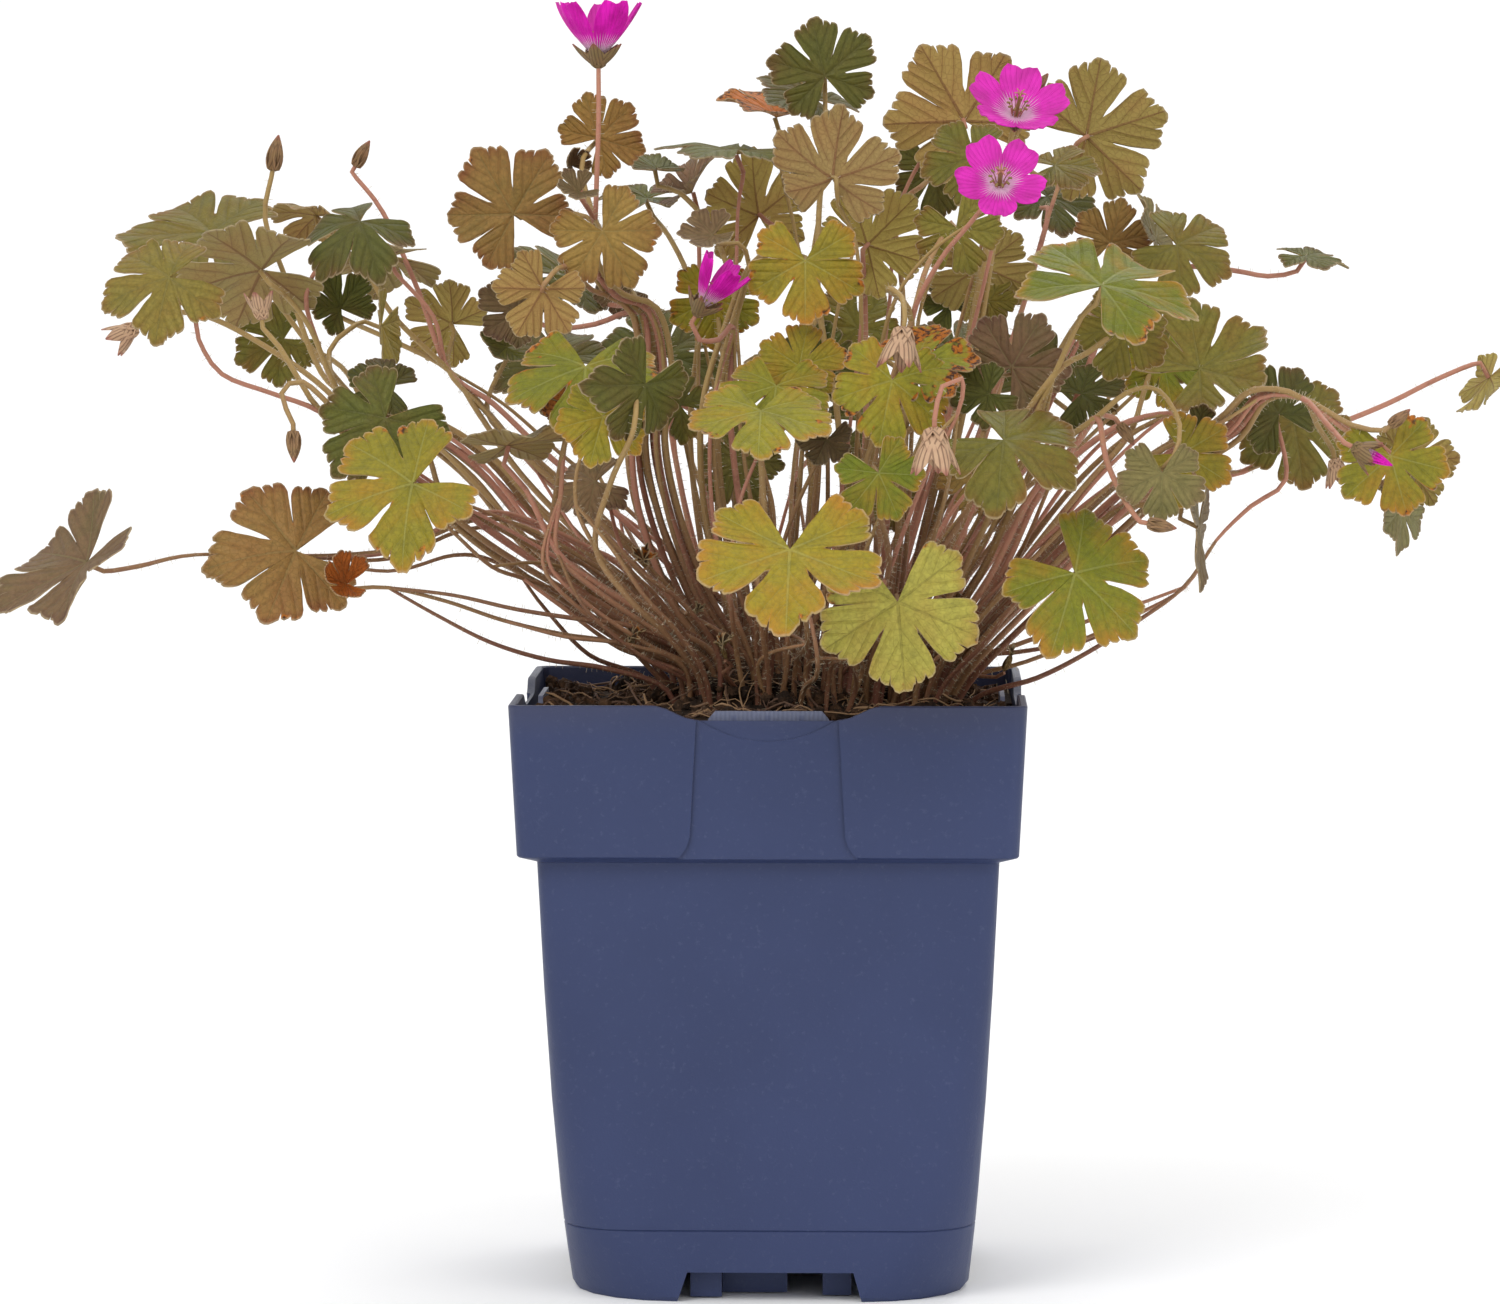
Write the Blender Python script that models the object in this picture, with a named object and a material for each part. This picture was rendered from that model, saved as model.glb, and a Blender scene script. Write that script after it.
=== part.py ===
# Hardy geranium growing in its square plastic pot. Metres, +Z up.
# The origin is on the standing surface, under the middle of the pot.
# Tables are in millimetres and degrees, and MM turns them into metres.

import math
from collections import namedtuple

import bmesh
import bpy
from mathutils import Matrix, Vector

MM = 0.001
GAP = 0.3  # clearance between solids that touch
FLAT = math.radians(0.3)  # neighbouring faces this close to one plane become one face

# Pot
RIM_HALF = 65.2
POT_TALL = 153.2
COLLAR_LOW = 114.5
COLLAR_HALF_LOW = 63.2
COLLAR_CORNER = 4.0
# Half the body's width: (height, half width).
BODY_SIDES = ((0.0, 51.0), (18.4, 52.7), (52.0, 55.2), (80.0, 56.8), (114.5, 58.4))
# The body's corners grow rounder towards the foot: (height, radius).
BODY_CORNERS = ((1.2, 28.0), (11.0, 21.0), (27.0, 13.6), (52.0, 8.5), (80.0, 5.5), (113.0, 3.3))
WALL = 1.7
COLLAR_WALL = 2.0
RIM_EDGE = 0.4
OVERCUT = 5.0  # how far a cutter reaches past what it cuts
# The foot's standing ring: (inside the body's lowest half width, corner radius).
FOOT_INNER = (2.4, 25.6)
FOOT_OUTER = (0.9, 27.2)
FLOOR_FILLET = 1.2
FLOOR_Z = 10.0
FLOOR_THICK = 2.0
SEAM_Z = 18.4
SEAM_DEEP = 0.35
NOTCH = ((-23.5, -1.0), (-20.6, 7.7), (21.6, 7.7), (24.0, -1.0))
# Under-floor plates behind each notch: (left, right, distance from the pot's axis).
NOTCH_PLATES = ((-20.0, -12.0, 45.0), (-12.0, 4.6, 38.0), (13.7, 21.0, 42.0))
PLATE_THICK = 1.4
PLATE_LIFT = 0.4
PAD_HALF = 4.0
DRAIN_AT = 38.0
DRAIN_R = 4.0
# One side of the collar, as (across, up).
PANEL = (
    (-17.5, 156.0), (-19.5, 119.8), (-20.4, 117.2), (-21.9, 115.2), (-23.8, 113.6),
    (23.8, 113.6), (21.9, 115.2), (20.4, 117.2), (19.5, 119.8), (17.5, 156.0),
)
PANEL_DEEP = 0.8
DIP = (
    (-30.5, 156.0), (-30.5, 153.3), (-28.0, 153.1), (-25.5, 152.4), (-23.0, 151.2), (-20.5, 150.1),
    (-17.0, 149.4), (17.0, 149.4), (20.5, 150.1), (23.0, 151.2), (25.5, 152.4), (28.0, 153.1),
    (30.5, 153.3), (30.5, 156.0),
)
# The scooped lip under the dip: half its width, its top and its lowest point.
LIP_HALF = 17.4
LIP_TOP = 149.6
LIP_LOW = 144.2
LIP_PIECES = 10
LIP_OVER = 1.8
LIP_DEEP = (0.9, 1.35)
TAB = ((-15.0, 134.5), (15.4, 134.5), (15.4, 149.4), (13.6, 151.5), (-13.2, 151.5), (-15.0, 149.4))
TAB_BACK = 59.0
TAB_THICK = 1.2
SHELF_THICK = 1.6
SHELF_INSET = 0.2
CORNER_PIECES = 5

# Soil
SOIL_Z = 148.4
CROWN_RISE = 10.5
CROWN_REACH = 33.0
SOIL_SHARES = (0.88, 0.68, 0.46, 0.22)
SOIL_ROUGH = 1.3
ROOT_Z = 133.0
ROOT_DRAW = 0.9  # roots lie this share of their stem's distance from the pot's axis

# Leaves
BLADE = 0.7
LOBE_TURNS = (-122.0, -62.0, 0.0, 62.0, 122.0)
LOBE_REACH = (0.84, 0.96, 1.0, 0.96, 0.84)
SINUS_REACH = 0.42
SINUS_ASIDE = 0.2
CENTRE_REACH = 0.52
TOOTHED_OVER = 22.0
SCRAP_UNDER = 10.5
PLEAT = 0.22  # how steeply a blade rises from each lobe's middle vein
STALK_IN = 2.2
STALK_R = 0.85

# Flowers
PETALS_OVER = 1.1  # the petals spread this far over a bloom's foot
PETAL_ROOT = 1.5
PETAL_MIDDLE = 0.6
PETAL = ((0.3, 0.3), (0.82, 1.0), (1.0, 0.4))  # half a petal, as shares of its length and half width

LEAF_COLOURS = {
    "leaf_olive": (0.13, 0.13, 0.035),
    "leaf_bronze": (0.17, 0.10, 0.05),
    "leaf_dark": (0.06, 0.075, 0.03),
    "leaf_green": (0.10, 0.17, 0.03),
    "leaf_gold": (0.25, 0.20, 0.045),
    "leaf_pale": (0.30, 0.32, 0.13),
    "leaf_grey": (0.17, 0.18, 0.11),
}

# The point that every place below was sighted from, in millimetres.
EYE = Vector((33.6, -1696.0, 290.0))

# Leaf: hub and reach, where the middle lobe and the upper face point, cup at the hub and droop to
# the tips, the stem point that its stalk starts from (-1 is the last), and the stalk's own places.
# Head: a bud, a seed calyx or the cup under a bloom. Bloom: seat is its height over the cup's foot,
# and lift is its petals' angle at the foot and how much that grows to their tips.
# Shoot: thick is the stem's radius at its root and at its end.
Leaf = namedtuple("Leaf", "hub reach point face curl start via", defaults=((),))
Head = namedtuple("Head", "kind base aim size start via lift", defaults=((), 15))
Bloom = namedtuple("Bloom", "name base aim seat reach wide lift pistil")
Shoot = namedtuple("Shoot", "name look stem thick leaves heads", defaults=((),))


def seen(across, up, depth):
    """The point at this depth on the sight line through (across, up) in the plane of the pot's axis."""
    share = 1.0 + depth / -EYE.y
    return Vector((EYE.x + (across - EYE.x) * share, depth, EYE.z + (up - EYE.z) * share))


def direction(turn, nearer):
    """A unit vector that points turn degrees round the view, and nearer degrees out of it."""
    a, t = math.radians(turn), math.radians(nearer)
    return Vector((math.cos(t) * math.cos(a), -math.sin(t), math.cos(t) * math.sin(a)))


def facing(sideways, upwards):
    """A unit normal: 0, 0 faces the front, sideways turns it to the right, upwards lifts it."""
    h, v = math.radians(sideways), math.radians(upwards)
    return Vector((math.sin(h) * math.cos(v), -math.cos(h) * math.cos(v), math.sin(v)))


# Leafy stems, from the soil outwards. A place is (across, up, depth).
SHOOTS = (
    Shoot(
        "shoot_far_left",
        "leaf_bronze",
        ((-22, 158, 12), (-38, 178, 8), (-50, 185, 4), (-70, 193.5, -2), (-82, 193, -8),
         (-100, 186, -16), (-124, 186.5, -26), (-150, 187, -40)),
        (1.5, 1),
        (
            Leaf((-178.5, 185, -56), 27, (218, 0), (-50, 50), (12, 0), -1, ((-165, 184, -49),)),
            Leaf((-124, 188, -42), 24, (185, 12), (0, 30), (5, -10), 6),
        ),
    ),
    Shoot(
        "shoot_low_left",
        "leaf_gold",
        ((-25, 157, -14), (-40, 164, -20), (-55, 166.5, -26), (-70, 170, -32), (-85, 175, -38),
         (-100, 178.5, -44)),
        (1.4, 1.1),
        (
            Leaf((-111, 179.5, -50), 12, (172, 10), (10, 20), (35, 20), -1),
        ),
    ),
    Shoot(
        "shoot_olive_left",
        "leaf_gold",
        ((-27, 158, 0), (-42, 166, -6), (-55, 177, -14), (-65, 181, -24), (-73, 184, -33),
         (-82, 192, -43)),
        (1.4, 1.1),
        (
            Leaf((-93.5, 205.5, -63), 24, (200, 10), (0, 42), (10, -15), -1, ((-89, 199, -54),)),
        ),
    ),
    Shoot(
        "shoot_bundle_left",
        "leaf_olive",
        ((-18, 158, 4), (-33, 167, 0), (-52, 179, -6), (-71, 191.5, -14), (-85, 202, -22),
         (-100, 212, -28), (-117, 224, -32)),
        (2.3, 1.5),
        (
            Leaf((-156.5, 259, -52), 20, (195, 10), (0, 42), (0, -15), -1,
                 ((-130, 229, -36), (-143, 234, -41), (-149, 243, -45), (-150, 250, -48))),
            Leaf((-100.5, 222.5, -42), 20, (226, 15), (0, 18), (0, -12), 4, ((-90, 214, -34),)),
        ),
        (
            Head("calyx", (-132.5, 248, -34), (95, 0), 8, -1, ((-122, 231, -33), (-128, 241, -34))),
            Head("bud", (-124.5, 219, -44), (272, 10), 10, 5,
                 ((-112, 223, -34), (-122, 232, -38), (-127.5, 229, -42))),
            Head("calyx", (-165, 246.5, -30), (215, 0), 9, 5,
                 ((-116, 230, -25), (-133, 242, -22), (-147, 249, -24), (-158, 250, -28))),
        ),
    ),
    Shoot(
        "shoot_high_left",
        "leaf_dark",
        ((-15, 158, 14), (-30, 169, 16), (-50, 183, 18), (-63, 194, 20), (-76, 209, 20), (-90, 219, 18),
         (-104, 224, 14), (-113, 230, 10)),
        (2.2, 1.5),
        (
            Leaf((-107, 273.5, -8), 19, (215, 35), (0, 60), (-5, -20), -1,
                 ((-118, 242, 8), (-121, 254, 4), (-116, 264, 0))),
            Leaf((-132.5, 261, -4), 25, (188, 0), (180, 48), (0, -8), -1,
                 ((-120, 246, 4), (-126, 254, 0))),
            Leaf((-145.5, 270.5, 22), 27, (182, 0), (0, 60), (0, -8), 6,
                 ((-119, 240, 24), (-132, 257, 26))),
            Leaf((-127, 243, 34), 15, (205, 0), (0, 20), (5, 0), 6, ((-112, 236, 30),)),
            Leaf((-101.5, 246.5, 30), 14, (268, 25), (75, 0), (10, 0), -1,
                 ((-115, 240, 22), (-110, 245.5, 26))),
        ),
        (
            Head("bud", (-129.5, 287, 18), (80, 0), 15, -1,
                 ((-119, 238, 16), (-126, 258, 18), (-131.5, 274, 18))),
        ),
    ),
    Shoot(
        "shoot_back_left",
        "leaf_grey",
        ((-8, 157, 26), (-25, 174, 34), (-45, 194, 44), (-62, 210, 52), (-74, 224, 60), (-84, 235, 66)),
        (1.8, 1.2),
        (
            Leaf((-99, 264.5, 76), 21, (182, -10), (180, 68), (0, -10), -1, ((-88, 249, 70),)),
            Leaf((-112, 251, 70), 12, (120, 0), (20, 20), (20, 0), -1, ((-97, 242, 68),)),
            Leaf((-83, 247, 84), 15, (150, 0), (180, 20), (0, -10), -1),
            Leaf((-69, 241, 74), 11, (170, 10), (0, 30), (20, 20), 4),
            Leaf((-118, 275, 62), 14, (165, 0), (180, 60), (0, -20), -1,
                 ((-99, 250, 62), (-108, 266, 62))),
        ),
        (
            Head("bud", (-108, 288, 84), (60, 0), 10, -1, ((-92, 256, 76), (-101, 276, 80))),
        ),
    ),
    Shoot(
        "shoot_green_left",
        "leaf_green",
        ((-16, 158, -12), (-30, 167, -20), (-46, 178, -28), (-56, 188, -32), (-55, 203, -34),
         (-53.5, 218, -36)),
        (1.8, 1.3),
        (
            Leaf((-48.5, 236, -46), 24, (268, 50), (0, 52), (0, -14), -1),
            Leaf((-69, 215.5, -34), 18, (12, 0), (180, 72), (0, 0), 3, ((-64, 204, -34),)),
            Leaf((-52, 226, -26), 12, (205, 20), (0, 20), (20, 10), 5),
        ),
    ),
    Shoot(
        "shoot_gold_middle",
        "leaf_gold",
        ((-18, 157, -24), (-28, 170, -34), (-38, 178, -44), (-46, 189, -52), (-51, 200, -56),
         (-50, 212, -60)),
        (1.6, 1.1),
        (
            Leaf((-44, 223, -70), 14, (255, 20), (0, 15), (5, -10), -1),
            Leaf((-33, 231.5, -80), 17, (245, 8), (52, 18), (0, -8), 3,
                 ((-42, 206, -66), (-36, 220, -82))),
        ),
    ),
    Shoot(
        "shoot_purple",
        "leaf_bronze",
        ((-9, 158, 8), (-20, 174, 10), (-29, 196, 12), (-33, 216, 12), (-31, 235, 12), (-34, 250, 10),
         (-42, 254, 6), (-47, 262, 2), (-46, 273, 0)),
        (2.2, 1.5),
        (
            Leaf((-67, 275.5, 2), 20, (120, 0), (-15, 8), (6, -6), -1, ((-55, 276, 2),)),
            Leaf((-45, 295, 14), 13.5, (45, 0), (10, 10), (5, 0), -1, ((-49, 284, 8), (-49, 290, 11))),
            Leaf((-44, 271, -14), 17, (300, 8), (0, 12), (0, -8), -1),
            Leaf((-52, 288, 16), 8, (110, 0), (20, 20), (40, 20), -1, ((-49, 281, 8),)),
            Leaf((-50, 281, -12), 8, (190, 20), (0, 40), (30, 0), -1),
            Leaf((-59.5, 256, -22), 14.5, (240, 0), (180, -5), (0, -8), 6,
                 ((-47, 256, -2), (-54, 262, -16))),
            Leaf((-38, 256, 26), 9, (195, 0), (0, 10), (10, 0), 5),
            Leaf((-66, 250, 22), 12, (150, 0), (0, 10), (10, 0), 5, ((-46, 247, 16), (-56, 246, 20))),
            Leaf((-52, 259, 34), 20, (158, 0), (0, 68), (0, -8), 5, ((-42, 252, 24),)),
        ),
        (
            Head("cup", (-45, 313, 0), (90, 0), 9, -1, ((-45.5, 285, 0), (-45, 300, 0)), 40),
        ),
    ),
    Shoot(
        "shoot_mid_bloom",
        "leaf_bronze",
        ((-2, 160, -12), (-8, 178, -16), (-13, 202, -18), (-14, 226, -18), (-10, 246, -16),
         (-6, 262, -14)),
        (2.1, 1.5),
        (
            Leaf((-15.5, 270, -22), 10, (190, 0), (0, 50), (10, 10), -1, ((-9, 268, -18),)),
            Leaf((8.5, 263.5, -34), 18, (270, 12), (0, 32), (0, -10), -1,
                 ((-1, 265, -20), (4, 266, -28))),
        ),
        (
            Head("cup", (-20, 249, -30), (58, 8), 8, 4, ((-14, 243, -24), (-19, 243, -29)), 44),
        ),
    ),
    Shoot(
        "shoot_top_left",
        "leaf_dark",
        ((-4, 160, 14), (-8, 190, 24), (-10, 222, 32), (-9.5, 250, 36), (-9, 276, 38)),
        (1.6, 1),
        (
            Leaf((-9, 291, 38), 24, (178, 0), (0, 86), (14, -20), -1),
            Leaf((-30, 287, 54), 13, (165, 0), (0, 80), (10, 0), 3, ((-15, 270, 44), (-24, 281, 50))),
            Leaf((-15, 254, 40), 15, (270, 0), (0, 15), (0, 0), 2, ((-13, 240, 36),)),
        ),
    ),
    Shoot(
        "shoot_top_pair",
        "leaf_bronze",
        ((-10, 158, 22), (-15, 190, 36), (-19, 220, 50), (-19, 248, 58)),
        (1.5, 1.1),
        (
            Leaf((-21, 281, 66), 15, (40, 0), (0, 76), (32, -10), -1, ((-19, 266, 62),)),
            Leaf((-32.5, 279.5, 80), 14, (178, 0), (0, 78), (12, -10), -1,
                 ((-22, 260, 64), (-27, 270, 72))),
        ),
    ),
    Shoot(
        "shoot_funnel",
        "leaf_gold",
        ((3, 160, 20), (6, 190, 34), (8, 220, 44), (8.5, 250, 50), (6, 270, 52)),
        (1.6, 1),
        (
            Leaf((1, 300.5, 64), 18, (172, 0), (0, 75), (26, -14), -1, ((2.5, 286, 59),)),
            Leaf((-3.5, 275, 66), 19, (98, 0), (205, 0), (8, -10), 3, ((4, 268, 58),)),
        ),
    ),
    Shoot(
        "shoot_crest",
        "leaf_dark",
        ((11, 160, 16), (14, 190, 22), (14, 222, 26), (11, 252, 28), (12, 276, 28)),
        (1.6, 1),
        (
            Leaf((13.5, 311, 28), 17, (103, 0), (0, 22), (5, -8), -1, ((13.5, 295, 28),)),
            Leaf((11, 305, 48), 18, (150, -10), (0, 74), (6, -14), -1, ((13, 288, 36), (10.5, 298, 44))),
        ),
    ),
    Shoot(
        "shoot_brown_top",
        "leaf_bronze",
        ((17, 160, 2), (20, 188, 2), (22, 218, 0), (23, 248, -4), (21.5, 268, -6)),
        (1.7, 1.1),
        (
            Leaf((15.5, 284.5, -8), 20, (85, -25), (180, 48), (4, -18), -1, ((17, 278, -8),)),
        ),
    ),
    Shoot(
        "shoot_back_top",
        "leaf_bronze",
        ((12, 158, 28), (20, 186, 46), (24, 216, 62), (30, 250, 76), (32, 275, 80)),
        (1.7, 1.1),
        (
            Leaf((49.5, 299.5, 76), 24, (120, 0), (180, 10), (5, -8), -1, ((41, 293, 80),)),
            Leaf((24.5, 267.5, 64), 18.5, (45, 0), (180, 0), (4, -6), 2, ((24, 250, 68),)),
            Leaf((42, 287, 94), 14, (275, 0), (0, 20), (5, -10), -1, ((40, 284, 88),)),
        ),
    ),
    Shoot(
        "shoot_bloom_front",
        "leaf_olive",
        ((25, 160, -12), (29, 188, -18), (32, 220, -24), (36, 248, -30), (43, 263, -34),
         (51, 273, -38)),
        (1.8, 1.3),
        (
            Leaf((47.5, 272, -12), 14, (290, 0), (0, 20), (0, -8), 3, ((40, 262, -20),)),
        ),
        (
            Head("cup", (58.5, 282, -44), (85, 62), 6, -1, ((56, 279, -40),)),
            Head("calyx", (34, 246.5, -64), (262, 10), 12, 3, ((30, 256, -44), (33.5, 254, -58))),
        ),
    ),
    Shoot(
        "shoot_bloom_back",
        "leaf_olive",
        ((32, 158, 8), (38, 186, 14), (45, 216, 16), (52, 248, 14), (57, 274, 10), (61, 292, 6)),
        (1.8, 1.3),
        (
            Leaf((52, 290, 30), 15, (195, 0), (0, 35), (0, -6), -1, ((57, 284, 16),)),
            Leaf((54, 262, 30), 17, (275, 0), (180, 10), (4, -6), 3),
            Leaf((73, 288, 26), 13, (5, 0), (0, 60), (0, -10), -1, ((66, 287, 16),)),
        ),
        (
            Head("cup", (62.5, 299, 2), (80, 40), 6, -1),
            Head("bud", (68.5, 308, 10), (55, 0), 6, -1, ((66, 301, 9),)),
        ),
    ),
    Shoot(
        "shoot_high_right",
        "leaf_olive",
        ((26, 157, 20), (40, 184, 38), (52, 214, 54), (63, 246, 66), (71, 274, 74)),
        (1.8, 1.2),
        (
            Leaf((81, 295.5, 78), 23, (18, 0), (180, 5), (5, -8), -1, ((77, 291, 78),)),
            Leaf((71, 280, 92), 16, (345, 0), (0, 55), (0, -10), -1, ((70, 277, 84),)),
        ),
    ),
    Shoot(
        "shoot_right_upper",
        "leaf_olive",
        ((38, 157, 10), (54, 188, 22), (68, 218, 32), (80, 244, 40), (90, 260, 42)),
        (1.8, 1.2),
        (
            Leaf((104.5, 267.5, 36), 18, (335, 5), (0, 42), (0, -16), -1),
            Leaf((87.5, 268, 54), 12.5, (75, 0), (0, 15), (5, 0), -1),
            Leaf((99, 269, 56), 14, (108, 0), (75, 10), (5, 0), -1, ((95, 264, 50),)),
            Leaf((137.5, 264.5, 58), 12.5, (352, 0), (0, 80), (5, -8), -1,
                 ((106, 262, 50), (119, 261, 54), (128, 259.5, 56))),
        ),
    ),
    Shoot(
        "shoot_big_green",
        "leaf_green",
        ((36, 158, -18), (50, 184, -36), (62, 210, -54), (73, 234, -70), (80, 249, -80)),
        (2, 1.4),
        (
            Leaf((85, 257, -88), 27, (40, -48), (0, 50), (0, -8), -1),
            Leaf((91, 246, -58), 14, (250, 10), (0, 10), (8, -8), 3, ((82, 240, -64),)),
        ),
    ),
    Shoot(
        "shoot_right",
        "leaf_olive",
        ((44, 157, 2), (62, 184, 2), (78, 205, 0), (92, 218, -4), (103, 224, -8), (108, 229, -10)),
        (2, 1.3),
        (
            Leaf((110.5, 235.5, -14), 22, (32, -15), (0, 50), (0, 6), -1),
            Leaf((101, 237, 10), 13, (285, 0), (20, 10), (0, -8), 3, ((96, 229, 4),)),
            Leaf((110, 219, -26), 12, (80, 10), (0, 10), (30, 10), 4, ((107, 220, -20),)),
        ),
    ),
    Shoot(
        "shoot_arched",
        "leaf_grey",
        ((38, 157, -10), (54, 182, -28), (65, 205, -44), (76, 217, -58), (84, 223, -68)),
        (2.2, 1.6),
        (
            Leaf((101, 208.5, -90), 13, (268, 10), (0, 12), (0, -8), -1,
                 ((92, 229.5, -74), (100, 230, -80), (105.5, 221, -86), (104, 213, -89))),
        ),
        (
            Head("bud", (97.5, 195.5, -96), (350, 0), 9, -1, ((86.5, 212, -78), (91, 202, -88))),
            Head("bud", (90, 221, -60), (305, 0), 8, -1),
        ),
    ),
    Shoot(
        "shoot_outer_right",
        "leaf_olive",
        ((46, 156, 14), (66, 176, 22), (86, 194, 30), (104, 205, 36), (122, 209, 40)),
        (1.9, 1.2),
        (
            Leaf((135, 222, 34), 19, (278, 15), (0, 28), (0, -12), -1, ((131, 214, 40),)),
            Leaf((185.5, 233.5, 64), 13.5, (238, 15), (112, 12), (5, -8), -1,
                 ((134, 217, 46), (148, 222, 52), (160, 227, 56), (172, 233, 60))),
        ),
    ),
    Shoot(
        "shoot_trailing_right",
        "leaf_dark",
        ((50, 154, -2), (66, 159.5, -6), (80, 165, -8), (95, 172, -8), (107, 179, -6), (115, 191, -2)),
        (1.4, 1),
        (
            Leaf((131, 224, 6), 15, (120, 0), (0, 30), (0, -8), -1, ((124, 200, 2), (133, 207, 5))),
        ),
    ),
    Shoot(
        "shoot_bud_right",
        "leaf_olive",
        ((48, 156, -16), (68, 178, -30), (88, 198, -42), (104, 211, -50), (118, 219, -56),
         (126, 228, -60), (137, 228, -64)),
        (1.9, 1.2),
        (
            Leaf((164.5, 211.5, -54), 13.5, (5, 0), (180, 0), (4, -6), -1,
                 ((147, 222, -62), (156, 217, -58))),
            Leaf((160, 213, -72), 17, (285, 15), (0, 25), (0, -8), -1, ((148, 220, -68),)),
            Leaf((163, 200, -60), 13, (272, 0), (60, 0), (0, 0), -1, ((150, 212, -60), (158, 206, -60))),
            Leaf((106, 213.5, -66), 15, (332, 10), (0, 20), (0, -10), 3),
            Leaf((110.5, 195, -58), 17, (270, 0), (80, 0), (0, 0), 2, ((98, 200, -50), (106, 199, -56))),
        ),
        (
            Head("cup", (150, 215.5, -88), (335, 10), 8, -1, ((143, 222, -76),), 52),
            Head("calyx", (145.5, 212.5, -48), (282, 0), 8, -1, ((141, 221, -56),)),
            Head("bud", (160, 221, -74), (40, 0), 8, -1, ((150, 221, -70),)),
        ),
    ),
    Shoot(
        "shoot_low_right",
        "leaf_green",
        ((42, 156, -26), (52, 168, -42), (60, 177, -58), (69, 181.5, -72)),
        (1.5, 1.1),
        (
            Leaf((78.5, 182.5, -80), 23, (318, 10), (0, 35), (0, -12), -1),
        ),
    ),
    Shoot(
        "shoot_middle_right",
        "leaf_olive",
        ((30, 158, -22), (41, 180, -40), (51, 200, -56), (57, 210, -68)),
        (1.5, 1.1),
        (
            Leaf((60, 217, -78), 23, (338, 26), (0, 52), (0, -16), -1),
            Leaf((56, 229, -44), 11, (200, 10), (0, 20), (10, 0), 2, ((54, 216, -50),)),
        ),
    ),
    Shoot(
        "shoot_hooked",
        "leaf_green",
        ((22, 158, -26), (30, 182, -52), (39, 206, -76), (48, 224, -92)),
        (1.5, 1.1),
        (
            Leaf((27.5, 208.5, -86), 13, (295, 0), (0, 18), (0, -8), 1, ((28, 198, -74),)),
        ),
        (
            Head("calyx", (42, 220.5, -100), (270, 0), 13, -1, ((49, 233, -97), (44, 231, -99))),
        ),
    ),
    Shoot(
        "shoot_front_bronze",
        "leaf_bronze",
        ((6, 158, -26), (9, 164, -44), (8, 174, -66), (6, 182, -86)),
        (1.7, 1.2),
        (
            Leaf((4.5, 188.5, -100), 27, (268, 50), (0, 52), (0, 2), -1),
        ),
    ),
    Shoot(
        "shoot_front_pale",
        "leaf_pale",
        ((15, 157, -30), (20, 160, -48), (27, 166, -66)),
        (1.4, 1.1),
        (
            Leaf((32.5, 175, -84), 24, (275, 5), (0, 14), (0, -8), -1),
        ),
    ),
    Shoot(
        "shoot_front_pair",
        "leaf_gold",
        ((-4, 159, -24), (-4, 178, -40), (-3, 198, -54), (-3, 215, -64)),
        (1.7, 1.2),
        (
            Leaf((-3, 224.5, -70), 21, (268, 60), (0, 66), (4, -12), -1),
            Leaf((1, 231, -50), 17, (262, 45), (0, 55), (4, -10), -1, ((0, 224, -56),)),
            Leaf((7, 236, -34), 13.5, (80, -20), (0, 50), (4, -8), -1, ((5, 226, -44),)),
        ),
    ),
    Shoot(
        "shoot_spotted",
        "leaf_gold",
        ((14, 160, -20), (19, 182, -30), (24, 205, -38), (28, 222, -44)),
        (1.7, 1.2),
        (
            Leaf((31, 232.5, -53), 18, (258, 20), (6, 42), (0, -14), -1),
            Leaf((37, 236.5, -46), 17, (15, 0), (0, 45), (4, -8), -1),
            Leaf((62, 236, -8), 17, (60, 0), (0, 25), (4, -8), 2, ((38, 222, -26), (52, 232, -14))),
        ),
    ),
    Shoot(
        "shoot_rear_left",
        "leaf_dark",
        ((-16, 156, 31), (-28, 176, 50), (-40, 198, 68), (-50, 218, 82)),
        (1.7, 1.1),
        (
            Leaf((-56, 238, 92), 21, (150, -30), (0, 50), (0, -14), -1, ((-53, 230, 88),)),
        ),
    ),
    Shoot(
        "shoot_rear_mid_left",
        "leaf_dark",
        ((-5, 156, 33), (-11, 180, 54), (-19, 206, 74), (-26, 226, 88)),
        (1.7, 1.1),
        (
            Leaf((-28, 239, 98), 21, (110, -35), (0, 50), (0, -14), -1),
            Leaf((-10, 222, 90), 15, (330, -20), (0, 50), (0, -10), 3),
        ),
    ),
    Shoot(
        "shoot_rear_middle",
        "leaf_olive",
        ((6, 156, 33), (6, 182, 58), (6, 208, 80), (8, 228, 94)),
        (1.7, 1.1),
        (
            Leaf((8, 236, 103), 21, (80, -58), (0, 60), (0, -14), -1),
            Leaf((24, 222, 92), 16, (20, -10), (0, 45), (0, -8), 2),
        ),
    ),
    Shoot(
        "shoot_rear_mid_right",
        "leaf_dark",
        ((17, 156, 32), (25, 180, 54), (34, 206, 74), (43, 228, 90)),
        (1.7, 1.1),
        (
            Leaf((48, 239, 99), 21, (60, -40), (0, 50), (0, -14), -1),
            Leaf((22, 246, 96), 16, (120, -20), (0, 45), (0, -8), 3, ((32, 236, 92),)),
        ),
    ),
    Shoot(
        "shoot_rear_right",
        "leaf_olive",
        ((28, 156, 31), (46, 176, 48), (64, 198, 64), (80, 218, 78), (90, 232, 86)),
        (1.8, 1.1),
        (
            Leaf((98, 243, 92), 20, (30, -30), (0, 48), (0, -12), -1),
            Leaf((72, 232, 84), 18, (110, -20), (0, 50), (0, -10), 3),
        ),
    ),
)

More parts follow.
